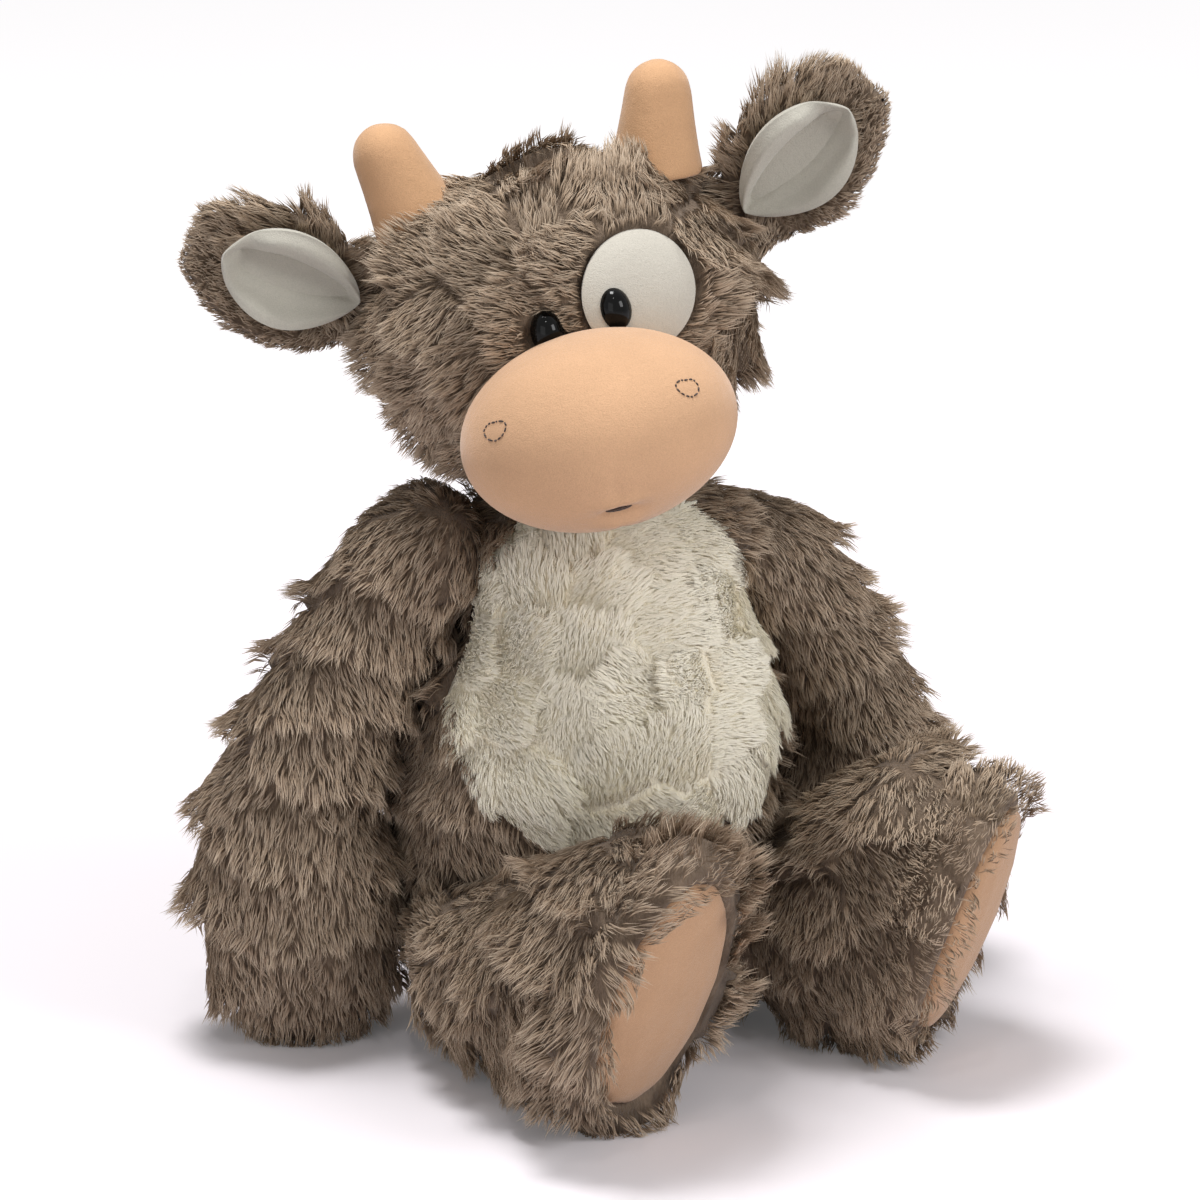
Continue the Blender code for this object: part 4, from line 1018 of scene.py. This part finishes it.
class PLUSH_OT_muzzle(bpy.types.Operator):
    """Makes the velour muzzle with its drawn-in mouth"""

    bl_idname = "plush.muzzle"
    bl_label = "Muzzle"

    def execute(self, context):
        mesh = skin("muzzle")
        points, normals, _ = read_mesh(mesh)
        mouth = on_head(centre_of("mouth_stitching"))
        spots = on_head(points)
        x, z = (spots[:, 0] - mouth[0]) / (5.5 * MM), (spots[:, 2] - mouth[2]) / (1.5 * MM)
        ahead = spots[:, 1] < MUZZLE_CENTRE.y
        depth = context.scene.plush_velour.dimple * np.exp(-(x**2) - z**2)
        lips = 1.3 * MM * np.exp(-(x**2) / 1.6 - (np.abs(z) - 2.6) ** 2)
        crease = 0.35 * MM * np.exp(-((spots[:, 0] / (1.6 * MM)) ** 2)) * (spots[:, 2] < MUZZLE_CENTRE.z - 4 * MM)
        points += normals * (np.where(ahead, lips - depth - crease, 0))[:, None]
        write_points(mesh, points)
        show("muzzle_skin", mesh, "peach velour", "head", ["muzzle_plush"])
        return {"FINISHED"}


class PLUSH_OT_eyes(bpy.types.Operator):
    """Makes the glossy black eyes"""

    bl_idname = "plush.eyes"
    bl_label = "Eyes"

    def execute(self, context):
        for name, place in EYE_PLACES.items():
            mesh = ball_mesh(f"{name}_eye_dome", place, EYE_HALVES, HEAD_POSE, 5)
            show(f"{name}_eye_dome", mesh, "black eye", "head", [f"{name}_eye"])
        return {"FINISHED"}


class PLUSH_OT_horns(bpy.types.Operator):
    """Makes the two velour horns"""

    bl_idname = "plush.horns"
    bl_label = "Horns"

    def execute(self, context):
        for name in SIDES:
            mesh = skin(f"{name}_horn").copy()
            points, _, _ = read_mesh(mesh)
            spots = on_head(points)
            low, high = spots.min(0), spots.max(0)
            height = (spots[:, 2] - low[2]) / (high[2] - low[2])
            middle = np.polynomial.Polynomial.fit(height, spots[:, 0], 1)(height)
            depth = np.polynomial.Polynomial.fit(height, spots[:, 1], 1)(height)
            wider = 1.08 + 0.3 * (1 - height) ** 2
            spots[:, 0] = middle + (spots[:, 0] - middle) * wider
            spots[:, 1] = depth + (spots[:, 1] - depth) * wider
            write_points(mesh, off_head(spots))
            show(f"{name}_horn_velour", mesh, "horn velour", "head", [f"{name}_horn"])
        return {"FINISHED"}


class PLUSH_OT_ears(bpy.types.Operator):
    """Makes the furry ears and their cupped linings"""

    bl_idname = "plush.ears"
    bl_label = "Ears"

    def execute(self, context):
        for name, side in SIDES.items():
            mesh = skin(f"{name}_ear")
            joint = JOINTS[f"{name}_ear_flop"]
            root, across = np.array(joint["pos_m"]), np.array(joint["axis"])
            middle = centre_of(f"{name}_ear_lining")
            along = unit(middle - root)
            across = unit(across - along * (across @ along)) * np.sign(across[2])
            front = np.cross(along, across)
            front *= np.sign(-front[1])
            lining = trees_of_lining(name, root, along, across, front)

            def flow(points, normals):
                out = points - (root + along * 20 * MM)
                return unit(out) + 0.6 * along

            def trim(points):
                above, out = (points - root) @ across, (points - root) @ along
                return np.clip(0.75 + above / (22 * MM), 0.4, 1) * (1 - 0.5 * step(out, 0.036, 0.054))

            def keep(points, normals):
                near = np.array([lining.find_nearest(Vector(p))[3] for p in points])
                return (near > 2.6 * MM) | (normals @ front < -0.1)

            def under_lining(points):
                near = np.array([lining.find_nearest(Vector(p))[3] for p in points])
                return (near < 3.2 * MM) & (read_mesh(mesh)[1] @ front > 0)

            pile = fur_pile(
                61 + side, 9500, length=0.0092, tuft=0.010, rise=0.001, lift=(20, 50), bend=20, turn=14, swirl=0.2,
                gather=0.3, over=1,
            )
            nodes, place = [f"{name}_ear_plush"], f"{name}_ear"
            ways = {"hidden": under_lining, "trim": trim, "fill": 0.2, "sunk": 0.6 * MM}
            furry(place, mesh, pile, flow, place, "taupe_fur", nodes, keep, **ways)
        return {"FINISHED"}


def trees_of_lining(name, root, along, across, front):
    """Makes an ear's lining: a leaf folded along its length, one lip over a deep pocket. Returns its tree."""
    bm = bmesh.new()
    bmesh.ops.create_icosphere(bm, subdivisions=5, radius=1)
    balls = np.array([v.co for v in bm.verts])
    height = (balls[:, 2] + 1) / 2
    round_share = np.maximum(np.sqrt(np.maximum(1 - balls[:, 2] ** 2, 0)), 1e-6)
    side = np.clip(balls[:, 0] / round_share, -1, 1)
    leaf = np.sin(np.pi * np.clip(height, 0, 1) ** 1.15) ** 0.55
    x = 14.2 * MM * leaf * side
    rise = 4.5 * MM + 43 * MM * height
    cup = 6 * MM * np.sin(np.pi / 2 * np.minimum(2 * rise / (54 * MM), 1)) * (x / (19 * MM)) ** 2
    long = 1 - step(height, 0.72, 0.95)
    fold = 7 * MM * step(side, 0.34, 0.47) * (1 - 0.5 * step(side, 0.62, 1)) * long * leaf
    pocket = -6 * MM * np.exp(-(((side - 0.14) / 0.42) ** 2)) * leaf
    rim = 3 * MM * np.maximum(step(-side, 0.45, 0.85) * leaf, step(height, 0.82, 0.97))
    puff = np.where(balls[:, 1] < 0, 1.2 * MM, -1.2 * MM) * (1 - np.clip(np.abs(side), 0, 1) ** 6)
    lift = 6.2 * MM + cup + rim + puff + np.where(balls[:, 1] < 0, fold + pocket, 0)
    laid = root + (x + 2 * MM)[:, None] * across + rise[:, None] * along + lift[:, None] * front
    for vert, point in zip(bm.verts, laid):
        vert.co = point
    bmesh.ops.recalc_face_normals(bm, faces=bm.faces)
    mesh = finished_mesh(f"{name}_ear_velour", bm)
    show(f"{name}_ear_velour", mesh, "lining velour", f"{name}_ear", [f"{name}_ear_lining"])
    return tree_of(mesh)


class PLUSH_OT_neck(bpy.types.Operator):
    """Makes the furry neck, which shows when the head looks up"""

    bl_idname = "plush.neck"
    bl_label = "Neck"

    def execute(self, context):
        def keep(points, normals):
            return np.abs(normals[:, 2]) < 0.7

        pile = fur_pile(61, 5000, length=0.006, tuft=0.010, rise=0.001, lift=(8, 30), turn=12, swirl=0.1, over=1)
        furry("neck", skin("neck"), pile, downwards, "neck_nod", "fibre_filling", ["neck_filling"], keep, sunk=0)
        return {"FINISHED"}


class PLUSH_OT_tail(bpy.types.Operator):
    """Makes the furry tail and its tuft"""

    bl_idname = "plush.tail"
    bl_label = "Tail"

    def execute(self, context):
        root = np.array(JOINTS["tail_swing"]["pos_m"])
        along = unit(centre_of("tail_tuft") - root)
        others = trees("torso")

        def flow(points, normals):
            return np.tile(along, (len(points), 1))

        def keep(points, normals):
            return (points[:, 2] > 1 * MM) & ~covered(points, others, 0)

        pile = fur_pile(71, 4500, length=0.0095, tuft=0.010, rise=0.001, lift=(8, 30), turn=12, swirl=0.1, over=1)
        nodes = ["tail_plush", "tail_tuft"]
        furry("tail", skin("tail"), pile, flow, "tail", "taupe_fur", nodes, keep, sunk=1 * MM)
        return {"FINISHED"}


class PLUSH_OT_stitching(bpy.types.Operator):
    """Makes the stitched nostrils and mouth"""

    bl_idname = "plush.stitching"
    bl_label = "Stitching"

    def execute(self, context):
        for name in ("right_nostril", "left_nostril", "mouth"):
            node = f"{name}_stitching"
            finished = bmesh.new()
            loop = thread_points(node, name != "mouth")
            for start, end in loop:
                add_stitch(finished, start, end, 0.3 * MM if name != "mouth" else 0.75 * MM)
            mesh = finished_mesh(f"{name}_stitches", finished)
            show(f"{name}_stitches", mesh, "embroidery", "head", [node])
        return {"FINISHED"}


def thread_points(node, closed):
    """Starts and ends of short stitches along a CAD thread, laid on the muzzle."""
    points = on_head([v.co for v in frame["nodes"][node].data.vertices])
    middle = points.mean(0)
    if closed:
        angles = np.arctan2(points[:, 2] - middle[2], points[:, 0] - middle[0])
        edges = np.linspace(-np.pi, np.pi, 15)
        path = []
        for low, high in zip(edges, edges[1:]):
            inside = points[(angles >= low) & (angles < high)]
            path.append(inside.mean(0) if len(inside) else path[-1])
        path.append(path[0])
    else:
        path = [middle + np.array((x, 0, z)) * MM for x, z in ((-4.6, -0.3), (4.6, 0.3))]
    ground = tree_of(skin("muzzle"))
    laid = []
    for spot in off_head(path):
        place, normal, _, _ = ground.find_nearest(Vector(spot))
        laid.append(place + normal * 0.05 * MM)
    return [(a.lerp(b, 0.08), a.lerp(b, 0.86)) for a, b in zip(laid, laid[1:])]


def add_stitch(bm, start, end, thick):
    """One stitch: a thread of half width thick whose ends dive into the cloth."""
    along = end - start
    turned = along.to_track_quat("Z", "Y").to_matrix().to_4x4()
    size = Matrix.Diagonal((thick, thick, along.length / 2, 1))
    matrix = Matrix.Translation((start + end) / 2) @ turned @ size
    bmesh.ops.create_uvsphere(bm, u_segments=8, v_segments=6, radius=1, matrix=matrix)


class PLUSH_OT_inside(bpy.types.Operator):
    """Finishes the filling, washers, pellet bag and seam threads that lie inside"""

    bl_idname = "plush.inside"
    bl_label = "Inside"

    def execute(self, context):
        finishes = {"fibre_filling": "fibre filling", "pellet_cloth": "pellet cloth", "white_plastic": "lock washer"}
        slots = {part["node"]: part["material_slot"] for part in frame["record"]["subparts"]}
        for name, node in frame["nodes"].items():
            finish = finishes.get(slots[name], "seam thread")
            if not node.hide_render:
                node.data.materials.clear()
                node.data.materials.append(material(finish))
        return {"FINISHED"}


class PLUSH_OT_studio(bpy.types.Operator):
    """Sets the camera, lamps, floor and pale surroundings"""

    bl_idname = "plush.studio"
    bl_label = "Studio"

    def execute(self, context):
        studio, scene = context.scene.plush_studio, context.scene
        scene.view_settings.view_transform = "Standard"
        side, height = studio.camera_side, studio.camera_height
        back = Vector((math.sin(side) * math.cos(height), -math.cos(side) * math.cos(height), math.sin(height)))
        camera = bpy.data.cameras.new("camera")
        camera.lens = studio.lens
        camera.sensor_width = 36
        camera.clip_start, camera.clip_end = 0.05, 20
        camera = bpy.data.objects.new("camera", camera)
        camera.location = studio.camera_place
        camera.rotation_euler = back.to_track_quat("Z", "Y").to_euler()
        scene.collection.objects.link(camera)
        scene.camera = camera

        for name, place, size, power in (
            ("key_lamp", (0.72, -0.95, 0.78), 0.5, studio.key),
            ("top_lamp", (-0.18, 0.10, 1.35), 0.4, studio.top),
            ("fill_lamp", (-0.95, -0.85, 0.42), 0.8, studio.fill),
            ("eye_lamp", (-0.25, -0.6, 1.1), 0.05, studio.sparkle),
        ):
            lamp = bpy.data.lights.new(name, "AREA")
            lamp.size, lamp.energy = size, power
            lamp = bpy.data.objects.new(name, lamp)
            lamp.location = place
            lamp.rotation_euler = (Vector(place) - Vector((0, 0, 0.12))).to_track_quat("Z", "Y").to_euler()
            scene.collection.objects.link(lamp)

        world = bpy.data.worlds.new("surroundings")
        world.use_nodes = True
        nodes, links = world.node_tree.nodes, world.node_tree.links
        light, seen = nodes["Background"], nodes.new("ShaderNodeBackground")
        light.inputs["Color"].default_value = (1, 0.99, 0.98, 1)
        light.inputs["Strength"].default_value = studio.sky
        seen.inputs["Strength"].default_value = 1
        links.new(shown_ray(nodes, links), links_mix(nodes, links, light, seen, nodes["World Output"]))
        scene.world = world

        bm = bmesh.new()
        bmesh.ops.create_grid(bm, x_segments=2, y_segments=2, size=6)
        floor = bpy.data.objects.new("floor", finished_mesh("floor", bm))
        scene.collection.objects.link(floor)
        paper = bpy.data.materials.new("pale paper")
        paper.use_nodes = True
        nodes, links = paper.node_tree.nodes, paper.node_tree.links
        base, white = nodes["Principled BSDF"], nodes.new("ShaderNodeEmission")
        base.inputs["Base Color"].default_value = (0.80, 0.755, 0.79, 1)
        base.inputs["Roughness"].default_value = 0.9
        base.inputs["Specular IOR Level"].default_value = 0
        spread = nodes.new("ShaderNodeTexGradient")
        spread.gradient_type = "SPHERICAL"
        reach = nodes.new("ShaderNodeMapping")
        reach.inputs["Scale"].default_value = (0.8, 0.8, 0.8)
        links.new(nodes.new("ShaderNodeTexCoord").outputs["Object"], reach.inputs["Vector"])
        links.new(reach.outputs["Vector"], spread.inputs["Vector"])
        level = nodes.new("ShaderNodeMapRange")
        level.inputs["To Min"].default_value = 0.75
        level.inputs["To Max"].default_value = 0.02
        links.new(spread.outputs["Fac"], level.inputs["Value"])
        links.new(level.outputs["Result"], white.inputs["Strength"])
        both = nodes.new("ShaderNodeAddShader")
        links.new(base.outputs[0], both.inputs[0])
        links.new(white.outputs[0], both.inputs[1])
        links.new(shown_ray(nodes, links), links_mix(nodes, links, base, both, nodes["Material Output"]))
        floor.data.materials.append(paper)
        return {"FINISHED"}


def shown_ray(nodes, links):
    """1 for what the camera sees, straight or in gloss or glass."""
    path, most, all_of = nodes.new("ShaderNodeLightPath"), nodes.new("ShaderNodeMath"), nodes.new("ShaderNodeMath")
    most.operation = all_of.operation = "MAXIMUM"
    links.new(path.outputs["Is Camera Ray"], most.inputs[0])
    links.new(path.outputs["Is Glossy Ray"], most.inputs[1])
    links.new(most.outputs[0], all_of.inputs[0])
    links.new(path.outputs["Is Transmission Ray"], all_of.inputs[1])
    return all_of.outputs[0]


def links_mix(nodes, links, first, second, output):
    """Mixes two shaders into the output and returns the socket of their share."""
    mix = nodes.new("ShaderNodeMixShader")
    links.new(first.outputs[0], mix.inputs[1])
    links.new(second.outputs[0], mix.inputs[2])
    links.new(mix.outputs[0], output.inputs["Surface"])
    return mix.inputs[0]


class PLUSH_PT_panel(bpy.types.Panel):
    """Lists the sizes, the colours and the steps"""

    bl_idname = "PLUSH_PT_panel"
    bl_label = "Plush Cow"
    bl_space_type = "VIEW_3D"
    bl_region_type = "UI"
    bl_category = "Plush Cow"

    def draw(self, context):
        for group in (context.scene.plush_fur, context.scene.plush_velour, context.scene.plush_studio):
            box = self.layout.box()
            for name in group.__annotations__:
                box.prop(group, name)
        for step in STEPS:
            self.layout.operator(step.bl_idname)


STEPS = (
    PLUSH_OT_studio,
    PLUSH_OT_belly,
    PLUSH_OT_torso,
    PLUSH_OT_arms,
    PLUSH_OT_legs,
    PLUSH_OT_muzzle,
    PLUSH_OT_head,
    PLUSH_OT_eyes,
    PLUSH_OT_horns,
    PLUSH_OT_ears,
    PLUSH_OT_neck,
    PLUSH_OT_tail,
    PLUSH_OT_stitching,
    PLUSH_OT_inside,
)
GROUPS = {"plush_fur": PlushFur, "plush_velour": PlushVelour, "plush_studio": PlushStudio}


def register():
    for made in (*GROUPS.values(), *STEPS, PLUSH_PT_panel):
        bpy.utils.register_class(made)
    for name, group in GROUPS.items():
        setattr(bpy.types.Scene, name, PointerProperty(type=group))


def unregister():
    for name in GROUPS:
        delattr(bpy.types.Scene, name)
    for made in reversed((*GROUPS.values(), *STEPS, PLUSH_PT_panel)):
        bpy.utils.unregister_class(made)


def main():
    register()
    for step in STEPS:
        group, name = step.bl_idname.split(".")
        getattr(getattr(bpy.ops, group), name)()


if __name__ == "__main__":
    main()
